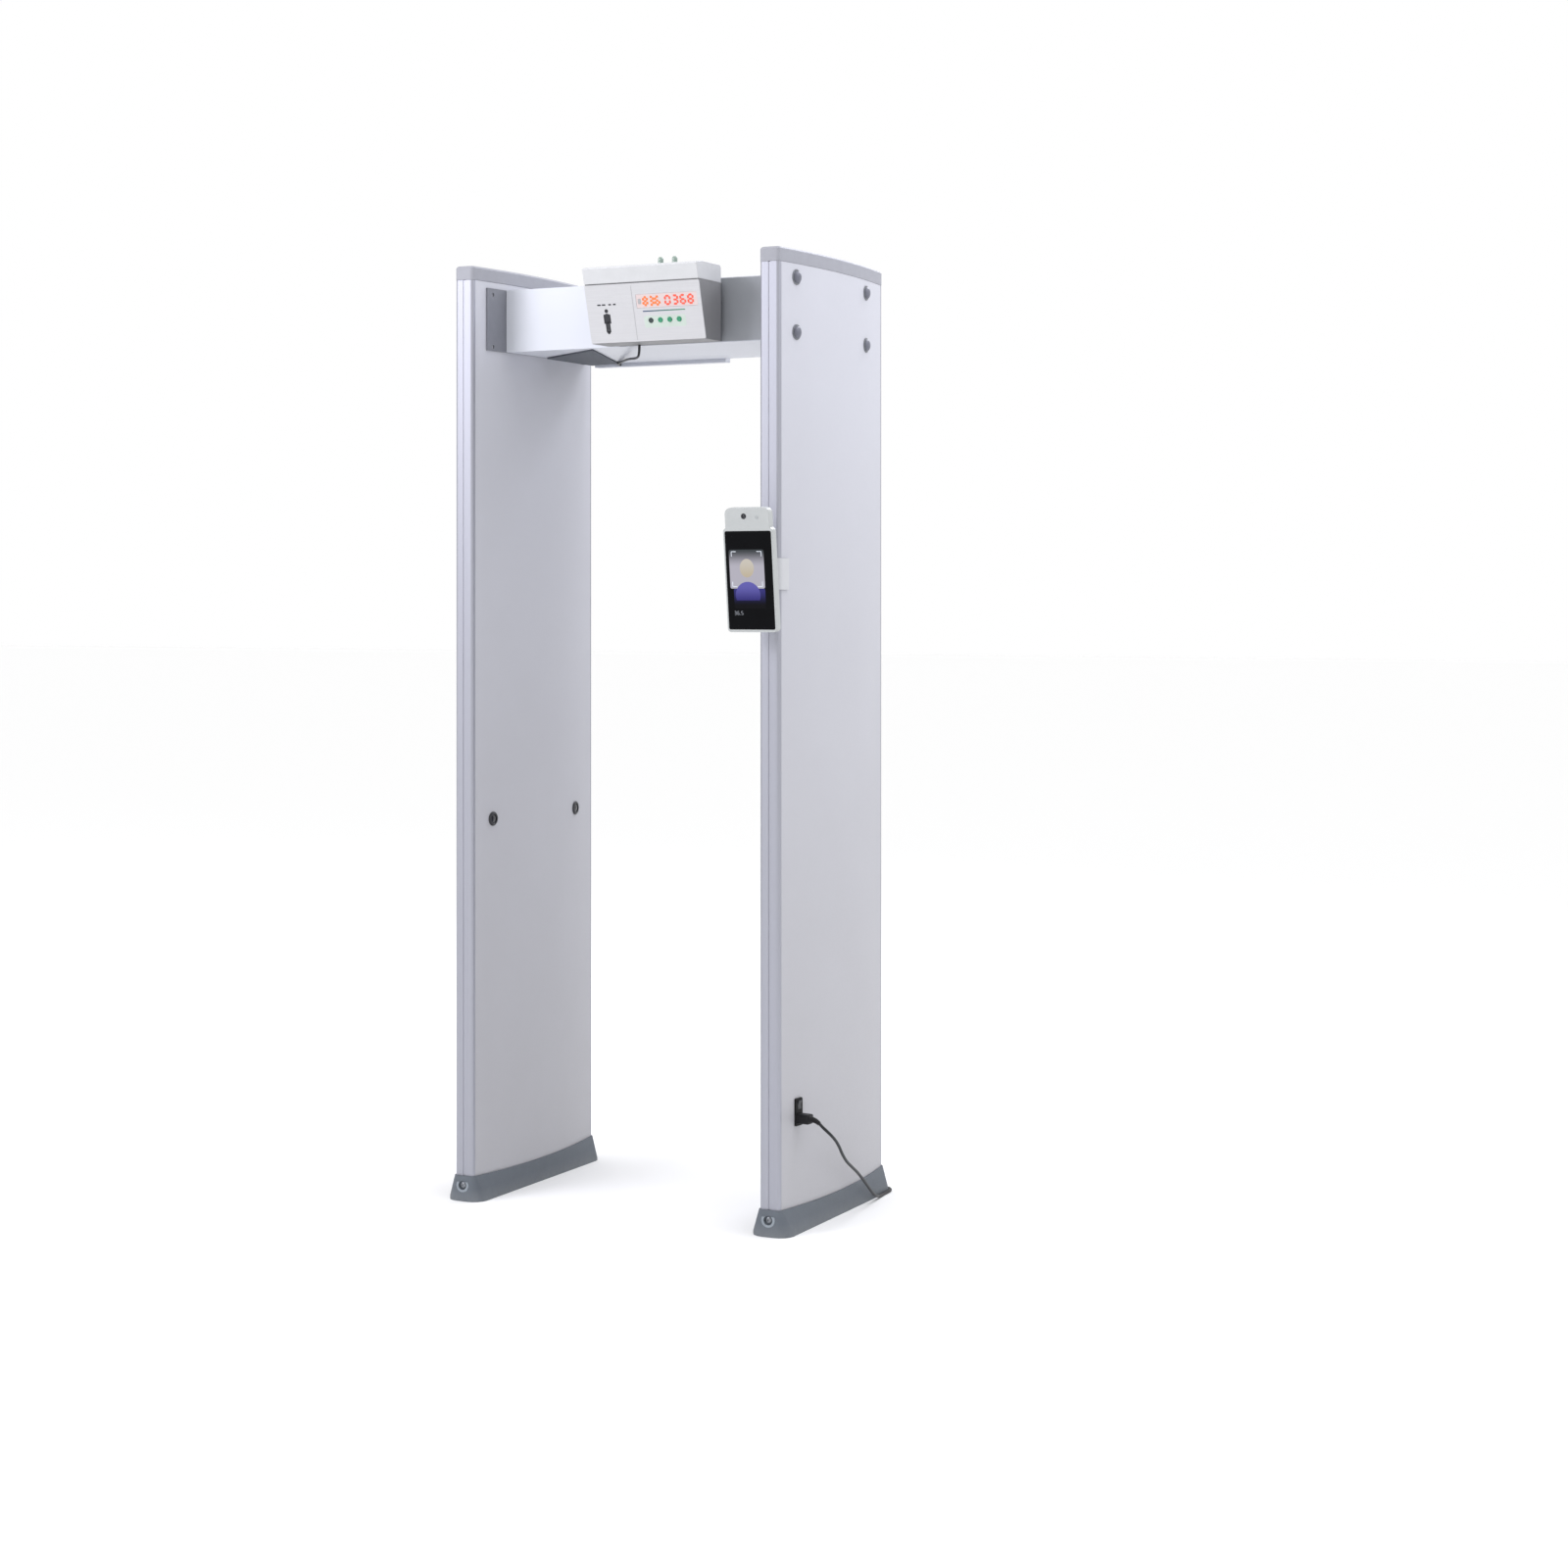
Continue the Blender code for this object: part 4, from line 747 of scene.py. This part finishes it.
# The printed panel is brushed and lacquered aluminium: fine lines run across it.
printed, printed_shader = surface("brushed_lacquered_front", Metallic=0.35, Coat_Weight=0.25,
                                  Coat_Roughness=0.2)
tree = printed.node_tree
place = add_node(tree, "TexCoord", {}, {}).outputs["Object"]
across = add_node(tree, "Mapping", {}, {"Vector": place, "Scale": (12.0, per(1.4), per(1.4))})
brushed = add_node(tree, "TexNoise", {}, {"Vector": across.outputs["Vector"], "Scale": 1.0,
                                          "Detail": 5.0})
silver = add_node(tree, "Mix", {"data_type": "RGBA"},
                  {0: brushed.outputs["Fac"], 6: linear("#bcbcbf"), 7: linear("#cbcbce")})
tree.links.new(silver.outputs[2], printed_shader.inputs["Base Color"])
gloss = add_node(tree, "MapRange", {}, {"Value": brushed.outputs["Fac"], "To Min": 0.34,
                                        "To Max": 0.48})
tree.links.new(gloss.outputs["Result"], printed_shader.inputs["Roughness"])
finer("printed_front", "control_fascia", printed, 0.0004)

PANEL_TILT = math.atan2(0.039, 0.135)     # it leans 39 mm over its height of 135 mm
UNIT_FRONT = -0.267                       # depth of its lower edge from the columns' middle
panel_up = Vector((0, -math.sin(PANEL_TILT), math.cos(PANEL_TILT)))
panel_out = Vector((0, -math.cos(PANEL_TILT), -math.sin(PANEL_TILT)))
# The panel's frame: X as the gate's, Y up the slope from its lower edge, Z out of it.
panel_place = Matrix.Translation(
    (0, gate_y + UNIT_FRONT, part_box("control_housing")[0].z)) @ Matrix(
    (Vector((1, 0, 0)), panel_up, panel_out)).transposed().to_4x4()
INK_T = 0.00025                           # screen-printed ink stands this proud


def patch(bm, x, y, width, height, corner, z0=0.0, z1=INK_T):
    """A flat rounded patch of ink or film on a panel."""
    corner = min(corner, 0.49 * min(width, height))
    put_in(bm, rounded_box(bmesh.new(), width, height, z0, z1, corner),
           Matrix.Translation((x, y, 0)))


def disc(bm, x, y, radius, z0=0.0, z1=INK_T, tall=1.0):
    """A flat round or oval spot."""
    place = Matrix.Translation((x, y, (z0 + z1) / 2)) @ Matrix.Diagonal((1, tall, 1, 1))
    bmesh.ops.create_cone(bm, cap_ends=True, segments=40, radius1=radius, radius2=radius,
                          depth=z1 - z0, matrix=place)


def stuck_on(name, bm, finish, place, body="gate"):
    """Ink, film or lit segments lying on a panel's face."""
    bmesh.ops.transform(bm, matrix=place, verts=bm.verts)
    return finished(name, bm, finish, (), body)


def print_patches(name, patches, finish):
    """Patches of one ink on the unit's panel; each has X, height, width, height and corner."""
    bm = bmesh.new()
    for sizes in patches:
        patch(bm, *sizes)
    return stuck_on(name, bm, finish, panel_place)


# Printed figure: a plain standing person, the usual sign for the body zones, in matt black ink.
ink = plastic("black_screen_ink", "#24252c", "#1b1c22", 0.55, 1.0, 0.00002)
FIGURE_X = -0.017
HEAD_UP, HEAD_R = 0.0745, 0.0046
# Trunk, arms, legs and feet: across from the figure's middle, up, width, height and corner.
FIGURE_PARTS = (
    (0.0, 0.0570, 0.0120, 0.0230, 0.0045), (-0.0072, 0.0560, 0.0034, 0.0220, 0.0017),
    (0.0072, 0.0560, 0.0034, 0.0220, 0.0017), (-0.0030, 0.0370, 0.0056, 0.0260, 0.0026),
    (0.0030, 0.0370, 0.0056, 0.0260, 0.0026), (0.0, 0.0245, 0.0070, 0.0070, 0.0030))
bm = bmesh.new()
disc(bm, FIGURE_X, HEAD_UP, HEAD_R)
for across, *sizes in FIGURE_PARTS:
    patch(bm, FIGURE_X + across, *sizes)
stuck_on("zone_figure", bm, ink, panel_place)
print_patches("zone_bars", [(x, 0.0890, width, 0.0034, 0.0008) for x, width in (
    (-0.034, 0.0090), (-0.022, 0.0090), (-0.006, 0.0070), (0.006, 0.0070))], ink)

# A fine grey line divides the figure's field from the display's field.
grey_ink = plastic("grey_screen_ink", "#a5a5a8", "#9b9b9e", 0.5, 1.0, 0.00002)
print_patches("field_line", [(0.0540, 0.0670, 0.0011, 0.1260, 0.0003)], grey_ink)

# Key field: a pale green film behind the keys, and a signal line that runs from blue to green.
FILM_T = 0.00015
field_film = plastic("pale_green_key_film", "#bfcbc2", "#b6c2ba", 0.45, 1.5, 0.00002)
print_patches("key_field", [(0.1310, 0.0450, 0.1060, 0.0270, 0.0040, 0.0, FILM_T)], field_film)
signal, signal_shader = surface("signal_line_ink", Roughness=0.45)
tree = signal.node_tree
place = add_node(tree, "TexCoord", {}, {}).outputs["Object"]
along = add_node(tree, "SeparateXYZ", {}, {"Vector": place}).outputs["X"]
shift = add_node(tree, "MapRange", {}, {"Value": along, "From Min": 0.080, "From Max": 0.180})
hue = add_node(tree, "Mix", {"data_type": "RGBA"},
               {0: shift.outputs["Result"], 6: linear("#2f3f66"), 7: linear("#4f8a6c")})
tree.links.new(hue.outputs[2], signal_shader.inputs["Base Color"])
print_patches("signal_line", [(0.1310, 0.0695, 0.1080, 0.0026, 0.0012)], signal)


# Display --------------------------------------------------------------------------------------
# A frosted polycarbonate window with seven-segment light-emitting figures behind it: the left
# group is orange, the right group red.
frost = plastic("frosted_display_window", "#d3c3c2", "#cbb9b8", 0.30, 2.0, 0.00003, coat=0.4)
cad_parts["display_window"].data.materials[0] = frost
# segments of each figure, clockwise from the top, the middle one last
SEGMENTS = {"0": "abcdef", "3": "abgcd", "5": "afgcd", "6": "afgedc", "8": "abcdefg"}
WINDOW_UP = 0.0925
LIT_DEPTH = (-0.0006, 0.0001)             # back and front of a segment, in the window's face
# A dot, in parts of the pitch and the stroke: how far back it stands, its radius, its own pitch.
DOT_BACK, DOT_R, DOT_PITCH = 0.28, 0.6, 0.3


def figures(bm, text, x, y, width, height, pitch, stroke, z0, z1):
    """Seven-segment figures in a row; a dot takes half a place."""
    half_w, half_h = width / 2, height / 2
    bars = {"a": (0, half_h, 1), "b": (half_w, half_h / 2, 0), "c": (half_w, -half_h / 2, 0),
            "d": (0, -half_h, 1), "e": (-half_w, -half_h / 2, 0), "f": (-half_w, half_h / 2, 0),
            "g": (0, 0, 1)}
    for sign in text:
        if sign == ".":
            disc(bm, x - pitch * DOT_BACK, y - half_h, stroke * DOT_R, z0, z1)
            x += pitch * DOT_PITCH
            continue
        for key in SEGMENTS[sign]:
            dx, dy, flat = bars[key]
            w, h = (width - stroke * 0.7, stroke) if flat else (stroke, half_h - stroke * 0.5)
            patch(bm, x + dx, y + dy, w, h, stroke * 0.45, z0, z1)
        x += pitch


def lit(name, colour, strength):
    """A glowing segment under clear resin."""
    material, shader = surface(name, Base_Color=linear(colour), Roughness=0.25,
                               Emission_Color=linear(colour), Emission_Strength=strength)
    tree = material.node_tree
    place = add_node(tree, "TexCoord", {}, {}).outputs["Object"]
    cells = add_node(tree, "TexVoronoi", {}, {"Vector": place, "Scale": per(2.2)})
    glow = add_node(tree, "MapRange", {}, {"Value": cells.outputs["Distance"], "To Min": strength,
                                           "To Max": strength * 0.7})
    tree.links.new(glow.outputs["Result"], shader.inputs["Emission Strength"])
    return material


# Group, its figures, its colour, and X, width, height, pitch and stroke of its first figure.
GROUPS = (("orange", "836", "#e2743f", 0.0860, 0.0100, 0.0180, 0.0155, 0.0056),
          ("red", "0368", "#dd5743", 0.1430, 0.0115, 0.0190, 0.0195, 0.0046))
for group, shown, colour, x, *sizes in GROUPS:
    bm = bmesh.new()
    figures(bm, shown, x, WINDOW_UP, *sizes, *LIT_DEPTH)
    stuck_on(group + "_figures", bm, lit(group + "_light_segments", colour, 0.22),
             panel_place)
print_patches("unlit_mark", [(0.0712, WINDOW_UP, 0.0070, 0.0120, 0.0015, *LIT_DEPTH)], grey_ink)


# Keys and lamps -------------------------------------------------------------------------------
# Four moulded silicone keys with a domed top, soft and satin, the first one dark and the others
# green, and two small lamps with moulded milky green lenses on the hood.
KEY_UP = 0.048
KEY_PROFILE = [(0, 0.0018), (0.0026, 0.0019), (0.0044, 0.0024), (0.0054, 0.0019),
               (0.0061, 0.0008), (0.0063, -0.0004), (0.0063, -0.0033), (0.0078, -0.0033),
               (0.0078, -0.0045), (0, -0.0045)]
LAMP_PROFILE = [(0, 0.0190), (0.0030, 0.0186), (0.0052, 0.0170), (0.0062, 0.0145),
                (0.0064, 0.0100), (0.0064, 0.0092), (0.0060, 0.0088), (0.0060, 0.0082),
                (0.0064, 0.0078), (0.0066, 0.0040), (0.0082, 0.0034), (0.0082, 0.0003),
                (0, 0.0003)]
key_green = plastic("green_silicone_key", "#2f8f68", "#27805c", 0.45, 1.2, 0.00003)
key_dark = plastic("dark_silicone_key", "#2c3a3a", "#233030", 0.45, 1.2, 0.00003)
for number in range(1, 5):
    node = "button_" + str(number)
    low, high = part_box(node)
    seat = panel_place @ Matrix.Translation(((low.x + high.x) / 2, KEY_UP, 0))
    finished("key_cap_" + str(number), turned(KEY_PROFILE, seat, 40),
             key_dark if number == 1 else key_green, node, "key_" + str(number))

lamp_poly = plastic("translucent_lamp_lens", "#8fa096", "#7f9187", 0.22, 1.5, 0.00002, coat=0.5)
hood_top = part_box("control_hood")[1].z
for number in (1, 2):
    node = "status_lamp_" + str(number)
    low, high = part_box(node)
    seat = Matrix.Translation(((low.x + high.x) / 2, (low.y + high.y) / 2, hood_top))
    finished("hood_lamp_" + str(number), turned(LAMP_PROFILE, seat, 40), lamp_poly, node)


# Terminal -------------------------------------------------------------------------------------
# A slim housing with a camera head, moulded in smooth off-white plastic with a satin gloss. It
# hangs on a powder-coated metal swivel and tilt bracket, clamped round the right column's front
# edge.
white_paint = plastic("white_bracket_paint", "#c6c7ca", "#bebfc3", 0.38, 2.0, 0.00005)
shell_plastic = plastic("satin_terminal_plastic", "#b3b6b6", "#a9acac", 0.38, 1.6, 0.00004)
finer("bracket_clamp", "terminal_clamp", white_paint, 0.0007)
finer("swivel_fork", "terminal_pan_arm", white_paint, 0.0006,
      "terminal_swivel")
finer("terminal_case", "terminal_shell", shell_plastic, 0.0007,
      "terminal_head")

TERMINAL_TILT = math.radians(6.5)
screen_up = Vector((0, -math.sin(TERMINAL_TILT), math.cos(TERMINAL_TILT)))
screen_out = Vector((0, -math.cos(TERMINAL_TILT), -math.sin(TERMINAL_TILT)))
SCREEN_Y, SCREEN_Z = -0.390, 1.457        # the glass's middle, Y from the columns' middle
# The screen's frame: X as the gate's, Y up the glass from its middle, Z out of it.
screen_place = Matrix.Translation((column_x, gate_y + SCREEN_Y, SCREEN_Z)) @ Matrix(
    (Vector((1, 0, 0)), screen_up, screen_out)).transposed().to_4x4()

# Cover glass over a black border: deep black and glossy.
glass, glass_shader = surface("black_cover_glass", Roughness=0.07, IOR=1.52,
                              Specular_IOR_Level=0.07)
tree = glass.node_tree
place = add_node(tree, "TexCoord", {}, {}).outputs["Object"]
smears = add_node(tree, "TexNoise", {}, {"Vector": place, "Scale": per(45.0), "Detail": 3.0,
                                         "Distortion": 0.6})
wiped = add_node(tree, "MapRange", {}, {"Value": smears.outputs["Fac"], "From Min": 0.35,
                                        "From Max": 0.75, "To Min": 0.05, "To Max": 0.16})
tree.links.new(wiped.outputs["Result"], glass_shader.inputs["Roughness"])
shade = add_node(tree, "Mix", {"data_type": "RGBA"},
                 {0: smears.outputs["Fac"], 6: linear("#050507"), 7: linear("#0b0c0f")})
tree.links.new(shade.outputs[2], glass_shader.inputs["Base Color"])
GLASS_W, GLASS_H = 0.112, 0.217
bm = rounded_box(bmesh.new(), GLASS_W, GLASS_H, -0.0017, -0.0001, 0.0037, 0.0004, 6)
bmesh.ops.transform(bm, matrix=screen_place, verts=bm.verts)
finished("cover_glass", bm, glass, "terminal_glass", "terminal_head")


# Screen image ---------------------------------------------------------------------------------
# The lit screen shows a generic guide: a pale field, a plain head-and-shoulders sign inside four
# corner marks, a violet base, and a temperature in figures.
def lit_field(name, low_colour, high_colour, z0, z1, strength):
    """A lit area whose colour changes up the screen, between two heights."""
    material, shader = surface(name, Roughness=0.2, Specular_IOR_Level=0.07,
                               Emission_Strength=strength)
    tree = material.node_tree
    place = add_node(tree, "TexCoord", {}, {}).outputs["Object"]
    up = add_node(tree, "SeparateXYZ", {}, {"Vector": place}).outputs["Z"]
    share = add_node(tree, "MapRange", {"interpolation_type": "SMOOTHSTEP"},
                     {"Value": up, "From Min": z0, "From Max": z1})
    mixed = add_node(tree, "Mix", {"data_type": "RGBA"},
                     {0: share.outputs["Result"], 6: linear(low_colour), 7: linear(high_colour)})
    tree.links.new(mixed.outputs[2], shader.inputs["Emission Color"])
    shader.inputs["Base Color"].default_value = linear("#0a0a0c")
    return material


def on_screen(name, bm, finish):
    """A lit piece of the picture, just above the glass."""
    return stuck_on(name, bm, finish, screen_place, "terminal_head")


# Across, up, width, height and corner; then back and front, lowest shown.
FIELD_DEPTH = (-0.0001, 0.00005)
SIGN_DEPTH = (0.0, 0.0001)
MARK_DEPTH = (0.0001, 0.0002)
GUIDE_X, GUIDE_UP = -0.0060, 0.0250
SHOULDERS_UP, SHOULDERS_END = -0.0330, -0.0440
bm = bmesh.new()
patch(bm, GUIDE_X, GUIDE_UP, 0.0840, 0.0860, 0.0040, *FIELD_DEPTH)
on_screen("guide_field", bm, lit_field("lit_guide_field", "#bdbac6", "#3c4245", 1.485, 1.526, 0.9))
bm = bmesh.new()
patch(bm, -0.0020, -0.0400, 0.0760, 0.0440, 0.0040, *FIELD_DEPTH)
on_screen("base_field", bm, lit_field("lit_base_field", "#08070c", "#3a3880", 1.402, 1.44, 0.9))
bm = bmesh.new()
disc(bm, GUIDE_X, 0.0270, 0.0170, *SIGN_DEPTH, 1.2)
on_screen("sign_head", bm, lit_field("lit_sign_head", "#cdbfa6", "#d9d2c6", 1.46, 1.50, 0.85))
bm = bmesh.new()
disc(bm, GUIDE_X, SHOULDERS_UP, 0.0300, *SIGN_DEPTH)
bmesh.ops.bisect_plane(bm, geom=bm.verts[:] + bm.edges[:] + bm.faces[:],
                       plane_co=(0, SHOULDERS_END, 0), plane_no=(0, -1, 0), clear_outer=True)
bmesh.ops.holes_fill(bm, edges=[e for e in bm.edges if e.is_boundary], sides=0)
on_screen("sign_shoulders", bm,
          lit_field("lit_sign_shoulders", "#322c78", "#6a66b8", 1.405, 1.45, 0.9))

# Each corner mark has a level and an upright bar: their middles from the guide's, their sizes.
MARK_BARS = ((0.0310, 0.0385, 0.0120, 0.0016), (0.0362, 0.0335, 0.0016, 0.0116))
bm = bmesh.new()
for sx in (-1, 1):
    for sy in (-1, 1):
        for across, up, width, height in MARK_BARS:
            patch(bm, GUIDE_X + sx * across, GUIDE_UP + sy * up, width, height, 0.0006,
                  *MARK_DEPTH)
on_screen("corner_marks", bm, lit("white_light", "#b9bec6", 0.45))
bm = bmesh.new()
figures(bm, "36.5", -0.0390, -0.0720, 0.0042, 0.0075, 0.0072, 0.0013, *SIGN_DEPTH)
on_screen("temperature", bm, lit("dim_white_light", "#6d7076", 0.35))


# Camera ports ---------------------------------------------------------------------------------
# The camera's turned black barrel with its coated glass, and beside it the grey moulded port of
# the temperature sensor, both pressed into the terminal's head.
LENS, PORT = (-0.008, 0.141), (0.0230, 0.1385)
BARREL_PROFILE = [(0.0030, -0.0050), (0.0030, -0.0006), (0.0046, 0.0002), (0.0051, 0.0007),
                  (0.0058, 0.0007), (0.0061, 0.0002), (0.0060, -0.0055), (0.0030, -0.0050)]
LENS_PROFILE = [(0, -0.0008), (0.0018, -0.0010), (0.0033, -0.0016), (0.0033, -0.0030),
                (0, -0.0030)]
PORT_PROFILE = [(0, 0.0002), (0.0030, 0.0003), (0.0034, 0.0005), (0.0040, 0.0004),
                (0.0042, -0.0004), (0, -0.0004)]
seat = screen_place @ Matrix.Translation((*LENS, 0))
finished("lens_barrel", turned(BARREL_PROFILE, seat), bezel_abs, "terminal_lens",
         "terminal_head")
finished("lens_glass", turned(LENS_PROFILE, seat, 32), smoked, (), "terminal_head")
port_paint = plastic("grey_sensor_port", "#a9adae", "#9ca0a1", 0.35, 1.0, 0.00002)
seat = screen_place @ Matrix.Translation((*PORT, 0))
finished("temperature_port", turned(PORT_PROFILE, seat, 32), port_paint, (),
         "terminal_head")


# Power inlet ----------------------------------------------------------------------------------
# A snap-in appliance inlet moulded in glass-filled black polyamide, matt and faintly mottled,
# with a rocker switch above the socket.
polyamide = plastic("black_polyamide", "#101012", "#0c0c0e", 0.56, 1.4, 0.00005, gleam=0.2)
finer("inlet_frame", "inlet_module", polyamide, 0.0004)
finer("rocker_key", "rocker_switch", bezel_abs, 0.0005, "rocker")


# Parts inside ---------------------------------------------------------------------------------
# Windings of enamelled copper, a power supply in a plain sheet metal case and a green circuit
# board. They are shut in, and keep their own shape.
enamel, enamel_shader = surface("enamelled_copper", Metallic=1.0, Coat_Weight=0.6,
                                Coat_Roughness=0.15)
tree = enamel.node_tree
place = add_node(tree, "TexCoord", {}, {}).outputs["Object"]
strands = add_node(tree, "TexWave", {"bands_direction": "X"},
                   {"Vector": place, "Scale": per(6.0) / 6.3, "Distortion": 1.0})
wound = add_node(tree, "Mix", {"data_type": "RGBA"},
                 {0: strands.outputs["Fac"], 6: linear("#6f3a1e"), 7: linear("#a85c33")})
tree.links.new(wound.outputs[2], enamel_shader.inputs["Base Color"])
enamel_shader.inputs["Roughness"].default_value = 0.35
for node in ("left_transmit_coil", "right_receive_coil"):
    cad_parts[node].data.materials[0] = enamel
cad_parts["power_supply"].data.materials[0] = zinc
board = plastic("green_circuit_board", "#1f6a44", "#185a39", 0.45, 3.0, 0.00008, 12.0)
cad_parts["control_board"].data.materials[0] = board
